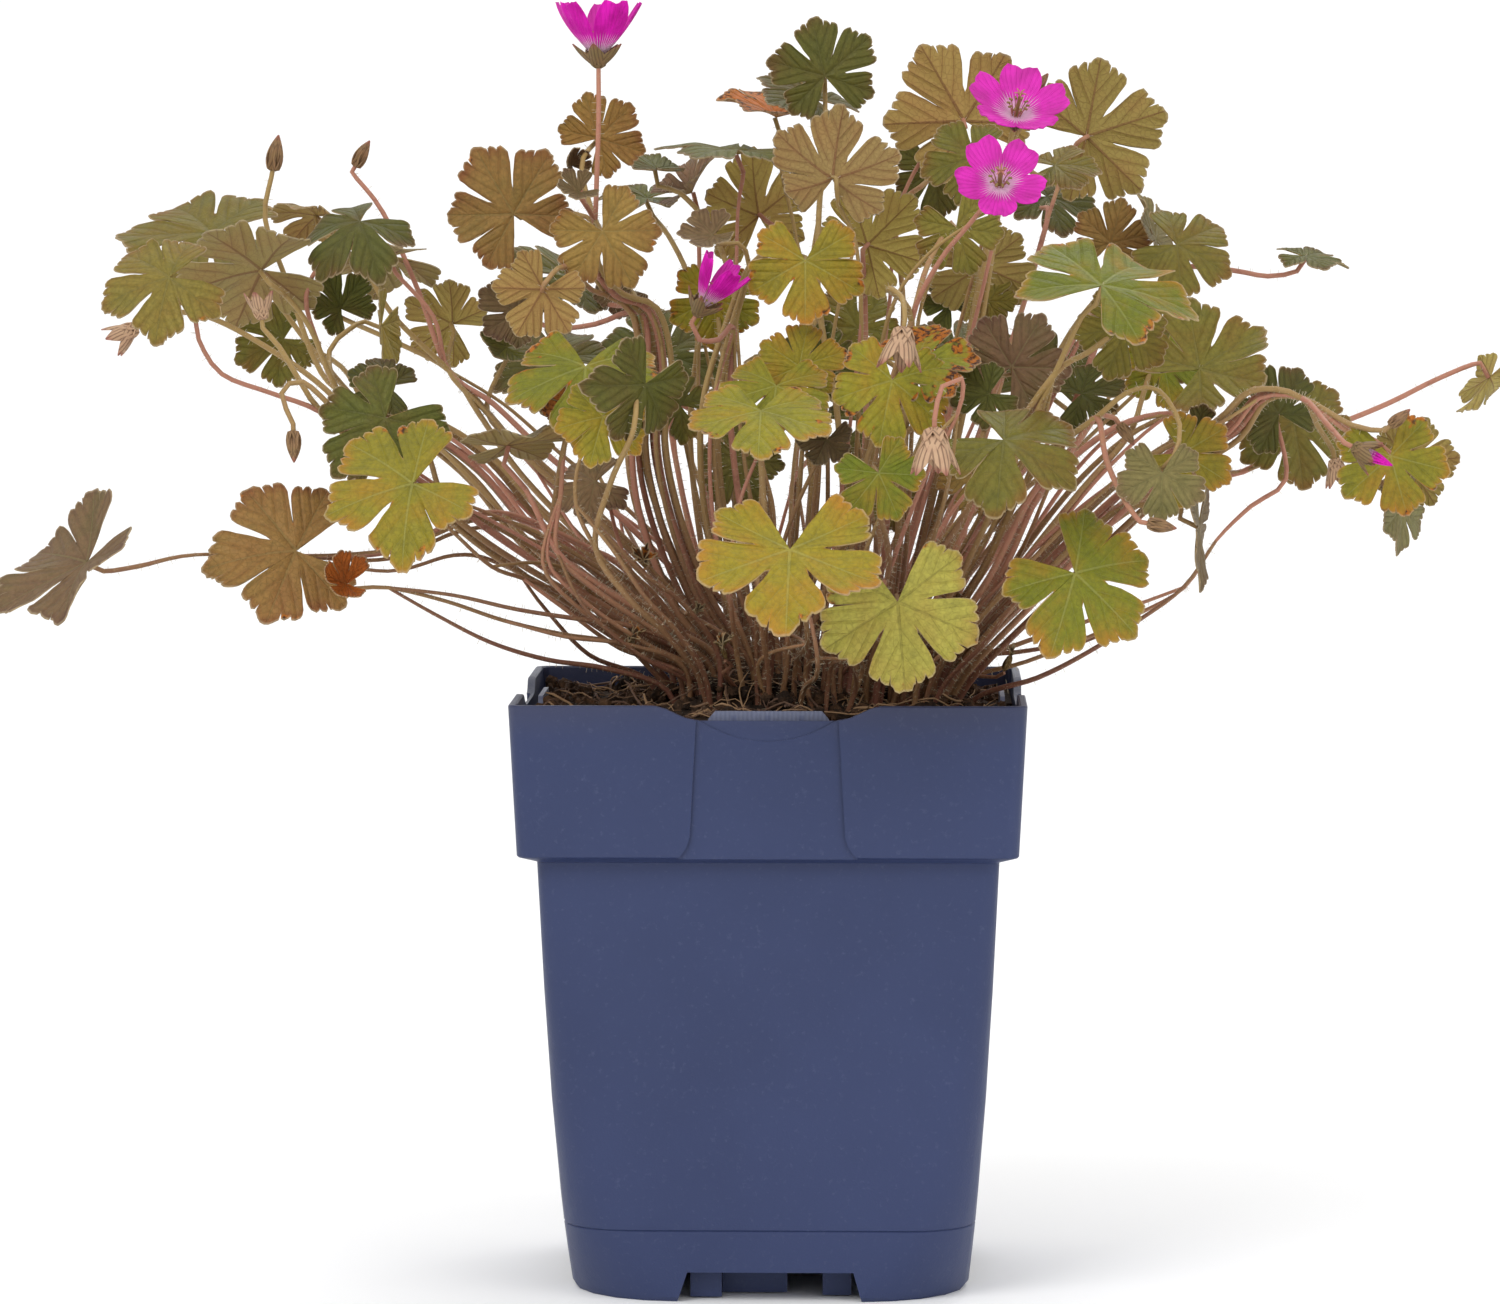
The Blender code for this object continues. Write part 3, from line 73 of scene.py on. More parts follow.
shoots = (
    Shoot("shoot_far_left", "leaf_bronze", ((-22, 158, 12), (-38, 178, 8), (-50, 185, 4), (-70, 193.5, -2),
        (-82, 193, -8), (-100, 186, -16), (-124, 186.5, -26), (-150, 187, -40)), (1.5, 1), (
        Leaf((-178.5, 185, -56), 27, (218, 0), (-50, 50), (12, 0), "brown", -1, ((-165, 184, -49),)),
        Leaf((-124, 188, -42), 24, (185, 12), (0, 30), (5, -10), "bronze", 6),
    )),
    Shoot("shoot_low_left", "leaf_gold", ((-25, 157, -14), (-40, 164, -20), (-55, 166.5, -26), (-70, 170, -32),
        (-85, 175, -38), (-100, 178.5, -44)), (1.4, 1.1), (
        Leaf((-111, 179.5, -50), 12, (172, 10), (10, 20), (35, 20), "orange"),
    )),
    Shoot("shoot_olive_left", "leaf_gold", ((-27, 158, 0), (-42, 166, -6), (-55, 177, -14), (-65, 181, -24),
        (-73, 184, -33), (-82, 192, -43)), (1.4, 1.1), (
        Leaf((-93.5, 205.5, -63), 24, (200, 10), (0, 42), (10, -15), "gold", -1, ((-89, 199, -54),)),
    )),
    Shoot("shoot_bundle_left", "leaf_olive", ((-18, 158, 4), (-33, 167, 0), (-52, 179, -6), (-71, 191.5, -14),
        (-85, 202, -22), (-100, 212, -28), (-117, 224, -32)), (2.3, 1.5), (
        Leaf((-156.5, 259, -52), 20, (195, 10), (0, 42), (0, -15), "olive", -1, ((-130, 229, -36), (-143, 234, -41),
            (-149, 243, -45), (-150, 250, -48))),
        Leaf((-100.5, 222.5, -42), 20, (226, 15), (0, 18), (0, -12), "dark", 4, ((-90, 214, -34),)),
    ), (
        Head("calyx", (-132.5, 248, -34), (95, 0), 8, -1, ((-122, 231, -33), (-128, 241, -34))),
        Head("bud", (-124.5, 219, -44), (272, 10), 10, 5, ((-112, 223, -34), (-122, 232, -38), (-127.5, 229, -42))),
        Head("calyx", (-165, 246.5, -30), (215, 0), 9, 5, ((-116, 230, -25), (-133, 242, -22), (-147, 249, -24),
            (-158, 250, -28))),
    )),
    Shoot("shoot_high_left", "leaf_dark", ((-15, 158, 14), (-30, 169, 16), (-50, 183, 18), (-63, 194, 20),
        (-76, 209, 20), (-90, 219, 18), (-104, 224, 14), (-113, 230, 10)), (2.2, 1.5), (
        Leaf((-107, 273.5, -8), 19, (215, 35), (0, 60), (-5, -20), "dark", -1, ((-118, 242, 8), (-121, 254, 4),
            (-116, 264, 0))),
        Leaf((-132.5, 261, -4), 25, (188, 0), (180, 48), (0, -8), "grey", -1, ((-120, 246, 4), (-126, 254, 0))),
        Leaf((-145.5, 270.5, 22), 27, (182, 0), (0, 60), (0, -8), "olive", 6, ((-119, 240, 24), (-132, 257, 26))),
        Leaf((-127, 243, 34), 15, (205, 0), (0, 20), (5, 0), "olive", 6, ((-112, 236, 30),)),
        Leaf((-101.5, 246.5, 30), 14, (268, 25), (75, 0), (10, 0), "pale", -1, ((-115, 240, 22), (-110, 245.5, 26))),
    ), (
        Head("bud", (-129.5, 287, 18), (80, 0), 15, -1, ((-119, 238, 16), (-126, 258, 18), (-131.5, 274, 18))),
    )),
    Shoot("shoot_back_left", "leaf_grey", ((-8, 157, 26), (-25, 174, 34), (-45, 194, 44), (-62, 210, 52),
        (-74, 224, 60), (-84, 235, 66)), (1.8, 1.2), (
        Leaf((-99, 264.5, 76), 21, (182, -10), (180, 68), (0, -10), "grey", -1, ((-88, 249, 70),)),
        Leaf((-112, 251, 70), 12, (120, 0), (20, 20), (20, 0), "dark", -1, ((-97, 242, 68),)),
        Leaf((-83, 247, 84), 15, (150, 0), (180, 20), (0, -10), "pale"),
        Leaf((-69, 241, 74), 11, (170, 10), (0, 30), (20, 20), "dark", 4),
        Leaf((-118, 275, 62), 14, (165, 0), (180, 60), (0, -20), "bronze", -1, ((-99, 250, 62), (-108, 266, 62))),
    ), (
        Head("bud", (-108, 288, 84), (60, 0), 10, -1, ((-92, 256, 76), (-101, 276, 80))),
    )),
    Shoot("shoot_green_left", "leaf_green", ((-16, 158, -12), (-30, 167, -20), (-46, 178, -28), (-56, 188, -32),
        (-55, 203, -34), (-53.5, 218, -36)), (1.8, 1.3), (
        Leaf((-48.5, 236, -46), 24, (268, 50), (0, 52), (0, -14), "green"),
        Leaf((-69, 215.5, -34), 18, (12, 0), (180, 72), (0, 0), "grey", 3, ((-64, 204, -34),)),
        Leaf((-52, 226, -26), 12, (205, 20), (0, 20), (20, 10), "orange", 5),
    )),
    Shoot("shoot_gold_middle", "leaf_gold", ((-18, 157, -24), (-28, 170, -34), (-38, 178, -44), (-46, 189, -52),
        (-51, 200, -56), (-50, 212, -60)), (1.6, 1.1), (
        Leaf((-44, 223, -70), 14, (255, 20), (0, 15), (5, -10), "gold"),
        Leaf((-33, 231.5, -80), 17, (245, 8), (52, 18), (0, -8), "dark", 3, ((-42, 206, -66), (-36, 220, -82))),
    )),
    Shoot("shoot_purple", "leaf_bronze", ((-9, 158, 8), (-20, 174, 10), (-29, 196, 12), (-33, 216, 12),
        (-31, 235, 12), (-34, 250, 10), (-42, 254, 6), (-47, 262, 2), (-46, 273, 0)), (2.2, 1.5), (
        Leaf((-67, 275.5, 2), 20, (120, 0), (-15, 8), (6, -6), "bronze", -1, ((-55, 276, 2),)),
        Leaf((-45, 295, 14), 13.5, (45, 0), (10, 10), (5, 0), "bronze", -1, ((-49, 284, 8), (-49, 290, 11))),
        Leaf((-44, 271, -14), 17, (300, 8), (0, 12), (0, -8), "bronze"),
        Leaf((-52, 288, 16), 8, (110, 0), (20, 20), (40, 20), "brown", -1, ((-49, 281, 8),)),
        Leaf((-50, 281, -12), 8, (190, 20), (0, 40), (30, 0), "brown"),
        Leaf((-59.5, 256, -22), 14.5, (240, 0), (180, -5), (0, -8), "bronze", 6, ((-47, 256, -2), (-54, 262, -16))),
        Leaf((-38, 256, 26), 9, (195, 0), (0, 10), (10, 0), "brown", 5),
        Leaf((-66, 250, 22), 12, (150, 0), (0, 10), (10, 0), "brown", 5, ((-46, 247, 16), (-56, 246, 20))),
        Leaf((-52, 259, 34), 20, (158, 0), (0, 68), (0, -8), "dark", 5, ((-42, 252, 24),)),
    ), (
        Head("cup", (-45, 313, 0), (90, 0), 9, -1, ((-45.5, 285, 0), (-45, 300, 0)), 40),
    )),
    Shoot("shoot_mid_bloom", "leaf_bronze", ((-2, 160, -12), (-8, 178, -16), (-13, 202, -18), (-14, 226, -18),
        (-10, 246, -16), (-6, 262, -14)), (2.1, 1.5), (
        Leaf((-15.5, 270, -22), 10, (190, 0), (0, 50), (10, 10), "brown", -1, ((-9, 268, -18),)),
        Leaf((8.5, 263.5, -34), 18, (270, 12), (0, 32), (0, -10), "gold", -1, ((-1, 265, -20), (4, 266, -28))),
    ), (
        Head("cup", (-20, 249, -30), (58, 8), 8, 4, ((-14, 243, -24), (-19, 243, -29)), 44),
    )),
    Shoot("shoot_top_left", "leaf_dark", ((-4, 160, 14), (-8, 190, 24), (-10, 222, 32), (-9.5, 250, 36),
        (-9, 276, 38)), (1.6, 1), (
        Leaf((-9, 291, 38), 24, (178, 0), (0, 86), (14, -20), "dark"),
        Leaf((-30, 287, 54), 13, (165, 0), (0, 80), (10, 0), "dark", 3, ((-15, 270, 44), (-24, 281, 50))),
        Leaf((-15, 254, 40), 15, (270, 0), (0, 15), (0, 0), "gold", 2, ((-13, 240, 36),)),
    )),
    Shoot("shoot_top_pair", "leaf_bronze", ((-10, 158, 22), (-15, 190, 36), (-19, 220, 50), (-19, 248, 58)),
        (1.5, 1.1), (
        Leaf((-21, 281, 66), 15, (40, 0), (0, 76), (32, -10), "brown", -1, ((-19, 266, 62),)),
        Leaf((-32.5, 279.5, 80), 14, (178, 0), (0, 78), (12, -10), "dark", -1, ((-22, 260, 64), (-27, 270, 72))),
    )),
    Shoot("shoot_funnel", "leaf_gold", ((3, 160, 20), (6, 190, 34), (8, 220, 44), (8.5, 250, 50), (6, 270, 52)),
        (1.6, 1), (
        Leaf((1, 300.5, 64), 18, (172, 0), (0, 75), (26, -14), "orange", -1, ((2.5, 286, 59),)),
        Leaf((-3.5, 275, 66), 19, (98, 0), (205, 0), (8, -10), "pale", 3, ((4, 268, 58),)),
    )),
    Shoot("shoot_crest", "leaf_dark", ((11, 160, 16), (14, 190, 22), (14, 222, 26), (11, 252, 28), (12, 276, 28)),
        (1.6, 1), (
        Leaf((13.5, 311, 28), 17, (103, 0), (0, 22), (5, -8), "dark", -1, ((13.5, 295, 28),)),
        Leaf((11, 305, 48), 18, (150, -10), (0, 74), (6, -14), "dark", -1, ((13, 288, 36), (10.5, 298, 44))),
    )),
    Shoot("shoot_brown_top", "leaf_bronze", ((17, 160, 2), (20, 188, 2), (22, 218, 0), (23, 248, -4),
        (21.5, 268, -6)), (1.7, 1.1), (
        Leaf((15.5, 284.5, -8), 20, (85, -25), (180, 48), (4, -18), "brown", -1, ((17, 278, -8),)),
    )),
    Shoot("shoot_back_top", "leaf_bronze", ((12, 158, 28), (20, 186, 46), (24, 216, 62), (30, 250, 76),
        (32, 275, 80)), (1.7, 1.1), (
        Leaf((49.5, 299.5, 76), 24, (120, 0), (180, 10), (5, -8), "bronze", -1, ((41, 293, 80),)),
        Leaf((24.5, 267.5, 64), 18.5, (45, 0), (180, 0), (4, -6), "pale", 2, ((24, 250, 68),)),
        Leaf((42, 287, 94), 14, (275, 0), (0, 20), (5, -10), "dark", -1, ((40, 284, 88),)),
    )),
    Shoot("shoot_bloom_front", "leaf_olive", ((25, 160, -12), (29, 188, -18), (32, 220, -24), (36, 248, -30),
        (43, 263, -34), (51, 273, -38)), (1.8, 1.3), (
        Leaf((47.5, 272, -12), 14, (290, 0), (0, 20), (0, -8), "olive", 3, ((40, 262, -20),)),
    ), (
        Head("cup", (58.5, 282, -44), (85, 62), 6, -1, ((56, 279, -40),)),
        Head("calyx", (34, 246.5, -64), (262, 10), 12, 3, ((30, 256, -44), (33.5, 254, -58))),
    )),
    Shoot("shoot_bloom_back", "leaf_olive", ((32, 158, 8), (38, 186, 14), (45, 216, 16), (52, 248, 14), (57, 274, 10),
        (61, 292, 6)), (1.8, 1.3), (
        Leaf((52, 290, 30), 15, (195, 0), (0, 35), (0, -6), "olive", -1, ((57, 284, 16),)),
        Leaf((54, 262, 30), 17, (275, 0), (180, 10), (4, -6), "olive", 3),
        Leaf((73, 288, 26), 13, (5, 0), (0, 60), (0, -10), "olive", -1, ((66, 287, 16),)),
    ), (
        Head("cup", (62.5, 299, 2), (80, 40), 6),
        Head("bud", (68.5, 308, 10), (55, 0), 6, -1, ((66, 301, 9),)),
    )),
    Shoot("shoot_high_right", "leaf_olive", ((26, 157, 20), (40, 184, 38), (52, 214, 54), (63, 246, 66),
        (71, 274, 74)), (1.8, 1.2), (
        Leaf((81, 295.5, 78), 23, (18, 0), (180, 5), (5, -8), "olive", -1, ((77, 291, 78),)),
        Leaf((71, 280, 92), 16, (345, 0), (0, 55), (0, -10), "dark", -1, ((70, 277, 84),)),
    )),
    Shoot("shoot_right_upper", "leaf_olive", ((38, 157, 10), (54, 188, 22), (68, 218, 32), (80, 244, 40),
        (90, 260, 42)), (1.8, 1.2), (
        Leaf((104.5, 267.5, 36), 18, (335, 5), (0, 42), (0, -16)),
        Leaf((87.5, 268, 54), 12.5, (75, 0), (0, 15), (5, 0), "bronze"),
        Leaf((99, 269, 56), 14, (108, 0), (75, 10), (5, 0), "grey", -1, ((95, 264, 50),)),
        Leaf((137.5, 264.5, 58), 12.5, (352, 0), (0, 80), (5, -8), "dark", -1, ((106, 262, 50), (119, 261, 54),
            (128, 259.5, 56))),
    )),
    Shoot("shoot_big_green", "leaf_green", ((36, 158, -18), (50, 184, -36), (62, 210, -54), (73, 234, -70),
        (80, 249, -80)), (2, 1.4), (
        Leaf((85, 257, -88), 27, (40, -48), (0, 50), (0, -8), "green"),
        Leaf((91, 246, -58), 14, (250, 10), (0, 10), (8, -8), "olive", 3, ((82, 240, -64),)),
    )),
    Shoot("shoot_right", "leaf_olive", ((44, 157, 2), (62, 184, 2), (78, 205, 0), (92, 218, -4), (103, 224, -8),
        (108, 229, -10)), (2, 1.3), (
        Leaf((110.5, 235.5, -14), 22, (32, -15), (0, 50), (0, 6)),
        Leaf((101, 237, 10), 13, (285, 0), (20, 10), (0, -8), "green", 3, ((96, 229, 4),)),
        Leaf((110, 219, -26), 12, (80, 10), (0, 10), (30, 10), "dark", 4, ((107, 220, -20),)),
    )),
    Shoot("shoot_arched", "leaf_grey", ((38, 157, -10), (54, 182, -28), (65, 205, -44), (76, 217, -58),
        (84, 223, -68)), (2.2, 1.6), (
        Leaf((101, 208.5, -90), 13, (268, 10), (0, 12), (0, -8), "grey", -1, ((92, 229.5, -74), (100, 230, -80),
            (105.5, 221, -86), (104, 213, -89))),
    ), (
        Head("bud", (97.5, 195.5, -96), (350, 0), 9, -1, ((86.5, 212, -78), (91, 202, -88))),
        Head("bud", (90, 221, -60), (305, 0), 8),
    )),
    Shoot("shoot_outer_right", "leaf_olive", ((46, 156, 14), (66, 176, 22), (86, 194, 30), (104, 205, 36),
        (122, 209, 40)), (1.9, 1.2), (
        Leaf((135, 222, 34), 19, (278, 15), (0, 28), (0, -12), "olive", -1, ((131, 214, 40),)),
        Leaf((185.5, 233.5, 64), 13.5, (238, 15), (112, 12), (5, -8), "pale", -1, ((134, 217, 46), (148, 222, 52),
            (160, 227, 56), (172, 233, 60))),
    )),
    Shoot("shoot_trailing_right", "leaf_dark", ((50, 154, -2), (66, 159.5, -6), (80, 165, -8), (95, 172, -8),
        (107, 179, -6), (115, 191, -2)), (1.4, 1), (
        Leaf((131, 224, 6), 15, (120, 0), (0, 30), (0, -8), "dark", -1, ((124, 200, 2), (133, 207, 5))),
    )),
    Shoot("shoot_bud_right", "leaf_olive", ((48, 156, -16), (68, 178, -30), (88, 198, -42), (104, 211, -50),
        (118, 219, -56), (126, 228, -60), (137, 228, -64)), (1.9, 1.2), (
        Leaf((164.5, 211.5, -54), 13.5, (5, 0), (180, 0), (4, -6), "olive", -1, ((147, 222, -62), (156, 217, -58))),
        Leaf((160, 213, -72), 17, (285, 15), (0, 25), (0, -8), "gold", -1, ((148, 220, -68),)),
        Leaf((163, 200, -60), 13, (272, 0), (60, 0), (0, 0), "grey", -1, ((150, 212, -60), (158, 206, -60))),
        Leaf((106, 213.5, -66), 15, (332, 10), (0, 20), (0, -10), "gold", 3),
        Leaf((110.5, 195, -58), 17, (270, 0), (80, 0), (0, 0), "brown", 2, ((98, 200, -50), (106, 199, -56))),
    ), (
        Head("cup", (150, 215.5, -88), (335, 10), 8, -1, ((143, 222, -76),), 52),
        Head("calyx", (145.5, 212.5, -48), (282, 0), 8, -1, ((141, 221, -56),)),
        Head("bud", (160, 221, -74), (40, 0), 8, -1, ((150, 221, -70),)),
    )),
    Shoot("shoot_low_right", "leaf_green", ((42, 156, -26), (52, 168, -42), (60, 177, -58), (69, 181.5, -72)),
        (1.5, 1.1), (
        Leaf((78.5, 182.5, -80), 23, (318, 10), (0, 35), (0, -12), "green"),
    )),
    Shoot("shoot_middle_right", "leaf_olive", ((30, 158, -22), (41, 180, -40), (51, 200, -56), (57, 210, -68)),
        (1.5, 1.1), (
        Leaf((60, 217, -78), 23, (338, 26), (0, 52), (0, -16)),
        Leaf((56, 229, -44), 11, (200, 10), (0, 20), (10, 0), "dark", 2, ((54, 216, -50),)),
    )),
    Shoot("shoot_hooked", "leaf_green", ((22, 158, -26), (30, 182, -52), (39, 206, -76), (48, 224, -92)), (1.5, 1.1),
        (
        Leaf((27.5, 208.5, -86), 13, (295, 0), (0, 18), (0, -8), "green", 1, ((28, 198, -74),)),
    ), (
        Head("calyx", (42, 220.5, -100), (270, 0), 13, -1, ((49, 233, -97), (44, 231, -99))),
    )),
    Shoot("shoot_front_bronze", "leaf_bronze", ((6, 158, -26), (9, 164, -44), (8, 174, -66), (6, 182, -86)),
        (1.7, 1.2), (
        Leaf((4.5, 188.5, -100), 27, (268, 50), (0, 52), (0, 2), "gold"),
    )),
    Shoot("shoot_front_pale", "leaf_pale", ((15, 157, -30), (20, 160, -48), (27, 166, -66)), (1.4, 1.1), (
        Leaf((32.5, 175, -84), 24, (275, 5), (0, 14), (0, -8), "pale"),
    )),
    Shoot("shoot_front_pair", "leaf_gold", ((-4, 159, -24), (-4, 178, -40), (-3, 198, -54), (-3, 215, -64)),
        (1.7, 1.2), (
        Leaf((-3, 224.5, -70), 21, (268, 60), (0, 66), (4, -12), "gold"),
        Leaf((1, 231, -50), 17, (262, 45), (0, 55), (4, -10), "green", -1, ((0, 224, -56),)),
        Leaf((7, 236, -34), 13.5, (80, -20), (0, 50), (4, -8), "gold", -1, ((5, 226, -44),)),
    )),
    Shoot("shoot_spotted", "leaf_gold", ((14, 160, -20), (19, 182, -30), (24, 205, -38), (28, 222, -44)), (1.7, 1.2),
        (
        Leaf((31, 232.5, -53), 18, (258, 20), (6, 42), (0, -14), "gold"),
        Leaf((37, 236.5, -46), 17, (15, 0), (0, 45), (4, -8), "spotted"),
        Leaf((62, 236, -8), 17, (60, 0), (0, 25), (4, -8), "brown", 2, ((38, 222, -26), (52, 232, -14))),
    )),
    Shoot("shoot_rear_left", "leaf_dark", ((-16, 156, 31), (-28, 176, 50), (-40, 198, 68), (-50, 218, 82)),
        (1.7, 1.1), (
        Leaf((-56, 238, 92), 21, (150, -30), (0, 50), (0, -14), "dark", -1, ((-53, 230, 88),)),
    )),
    Shoot("shoot_rear_mid_left", "leaf_dark", ((-5, 156, 33), (-11, 180, 54), (-19, 206, 74), (-26, 226, 88)),
        (1.7, 1.1), (
        Leaf((-28, 239, 98), 21, (110, -35), (0, 50), (0, -14), "dark"),
        Leaf((-10, 222, 90), 15, (330, -20), (0, 50), (0, -10), "olive", 3),
    )),
    Shoot("shoot_rear_middle", "leaf_olive", ((6, 156, 33), (6, 182, 58), (6, 208, 80), (8, 228, 94)), (1.7, 1.1), (
        Leaf((8, 236, 103), 21, (80, -58), (0, 60), (0, -14)),
        Leaf((24, 222, 92), 16, (20, -10), (0, 45), (0, -8), "dark", 2),
    )),
    Shoot("shoot_rear_mid_right", "leaf_dark", ((17, 156, 32), (25, 180, 54), (34, 206, 74), (43, 228, 90)),
        (1.7, 1.1), (
        Leaf((48, 239, 99), 21, (60, -40), (0, 50), (0, -14), "dark"),
        Leaf((22, 246, 96), 16, (120, -20), (0, 45), (0, -8), "olive", 3, ((32, 236, 92),)),
    )),
    Shoot("shoot_rear_right", "leaf_olive", ((28, 156, 31), (46, 176, 48), (64, 198, 64), (80, 218, 78),
        (90, 232, 86)), (1.8, 1.1), (
        Leaf((98, 243, 92), 20, (30, -30), (0, 48), (0, -12)),
        Leaf((72, 232, 84), 18, (110, -20), (0, 50), (0, -10), "dark", 3),
    )),
)

blooms = (
    Bloom("bloom_top", (-45, 313, 0), (90, 0), 1.6, 18, 4.6, (46, 12), 4.0),
    Bloom("bloom_high", (62.5, 299, 2), (80, 40), 1.4, 14, 5.6, (22, 8), 5.0),
    Bloom("bloom_front", (58.5, 282, -44), (85, 62), 1.4, 12, 4.8, (20, 6), 5.0),
    Bloom("bloom_half_open", (-20, 249, -30), (58, 8), 1.6, 15, 2.7, (58, 10), 4.0),
    Bloom("bloom_bud", (150, 215.5, -88), (335, 10), 2.7, 8.4, 0, (0, 0), 0),
)


# By kind of leaf: upper face, margin blush, share of dry blotches, and how pale its upper veins are.
leafTones = {
    "olive": ((0.180, 0.150, 0.022), (0.20, 0.08, 0.02), 0.20, 0.25),
    "bronze": ((0.300, 0.165, 0.045), (0.18, 0.05, 0.02), 0.25, 0.30),
    "dark": ((0.088, 0.086, 0.012), (0.12, 0.05, 0.02), 0.10, 0.15),
    "green": ((0.175, 0.182, 0.010), (0.42, 0.17, 0.02), 0.40, 0.75),
    "gold": ((0.270, 0.215, 0.014), (0.45, 0.16, 0.02), 0.40, 0.70),
    "pale": ((0.440, 0.365, 0.070), (0.36, 0.22, 0.05), 0.25, 0.05),
    "grey": ((0.215, 0.175, 0.068), (0.17, 0.10, 0.05), 0.10, 0.35),
    "brown": ((0.190, 0.110, 0.055), (0.10, 0.04, 0.03), 0.20, 0.40),
    "orange": ((0.480, 0.130, 0.018), (0.20, 0.05, 0.02), 0.60, 0.40),
    "spotted": ((0.215, 0.205, 0.016), (0.48, 0.15, 0.02), 0.65, 0.60),
    "dry": ((0.085, 0.042, 0.022), (0.05, 0.02, 0.01), 0.60, 0.20),
}


class Field:  # a socket that can stand in sums, products and comparisons
    def __init__(self, nodes, socket):
        self.nodes, self.socket = nodes, socket

    def __add__(self, other):
        return self.nodes.maths("ADD", self, other)

    def __sub__(self, other):
        return self.nodes.maths("SUBTRACT", self, other)

    def __rsub__(self, other):
        return self.nodes.maths("SUBTRACT", other, self)

    def __mul__(self, other):
        return self.nodes.maths("MULTIPLY", self, other)

    def __truediv__(self, other):
        return self.nodes.maths("DIVIDE", self, other)

    def __abs__(self):
        return self.nodes.maths("ABSOLUTE", self)

    def __gt__(self, other):
        return self.nodes.maths("GREATER_THAN", self, other)

    __radd__ = __add__
    __rmul__ = __mul__


class Nodes:  # one node tree, for a material or for geometry
    def __init__(self, tree):
        self.tree = tree

    def node(self, kind, settings=None, inputs=None, out=0):
        made = self.tree.nodes.new(kind)
        for label, value in (settings or {}).items():
            setattr(made, label, value)
        for label, value in (inputs or {}).items():
            self.feed(made.inputs[label], value)
        return Field(self, made.outputs[out])

    def feed(self, socket, value):
        if isinstance(value, Field):
            self.tree.links.new(value.socket, socket)
        elif value is not None:
            socket.default_value = value

    def maths(self, operation, *values):
        return self.node("ShaderNodeMath", {"operation": operation}, dict(enumerate(values)))


class Finish(Nodes):  # a material: its nodes and the shader they feed
    def __init__(self, name, **fixed):
        self.material = bpy.data.materials.new(name)
        self.material.use_nodes = True
        super().__init__(self.material.node_tree)
        self.shader = self.tree.nodes["Principled BSDF"]
        for label, value in fixed.items():
            self.shader.inputs[label.replace("_", " ")].default_value = value

    def place(self):
        return self.node("ShaderNodeTexCoord", out="Object")

    def attribute(self, name, out="Vector"):
        return self.node("ShaderNodeAttribute", {"attribute_name": name}, out=out)

    def parts(self, vector):
        split = self.node("ShaderNodeSeparateXYZ", inputs={0: vector})
        return [Field(self, socket) for socket in split.socket.node.outputs]

    def noise(self, place, scale, detail=3.0, rough=0.5):
        return self.node("ShaderNodeTexNoise", inputs={
            "Vector": place, "Scale": scale, "Detail": detail, "Roughness": rough}, out="Fac")

    def cells(self, place, scale, feature="F1", out="Distance"):
        return self.node("ShaderNodeTexVoronoi", {"feature": feature},
                         {"Vector": place, "Scale": scale}, out=out)

    def step(self, value, low, high, start=0.0, end=1.0):  # a soft step from start to end
        return self.node("ShaderNodeMapRange", {"interpolation_type": "SMOOTHSTEP"}, {
            "Value": value, "From Min": low, "From Max": high, "To Min": start, "To Max": end})

    def mix(self, share, first, second):
        first, second = [(*c, 1.0) if isinstance(c, tuple) else c for c in (first, second)]
        return self.node("ShaderNodeMix", {"data_type": "RGBA", "clamp_factor": True},
                         {0: share, 6: first, 7: second}, out=2)

    def saw(self, value):  # 0 half way between whole numbers, 0.5 at them
        return abs(self.maths("FRACT", value) - 0.5)

    def lobePlace(self):  # along and aside in a lobe, sepal or petal
        return self.parts(self.node("ShaderNodeUVMap", {"uv_map": "lobe"}))[:2]

    def bump(self, height, distance, strength=1.0):
        return self.node("ShaderNodeBump", inputs={"Height": height, "Distance": distance, "Strength": strength})

    def set(self, **sockets):
        for label, value in sockets.items():
            self.feed(self.shader.inputs[label.replace("_", " ")], value)
        return self.material


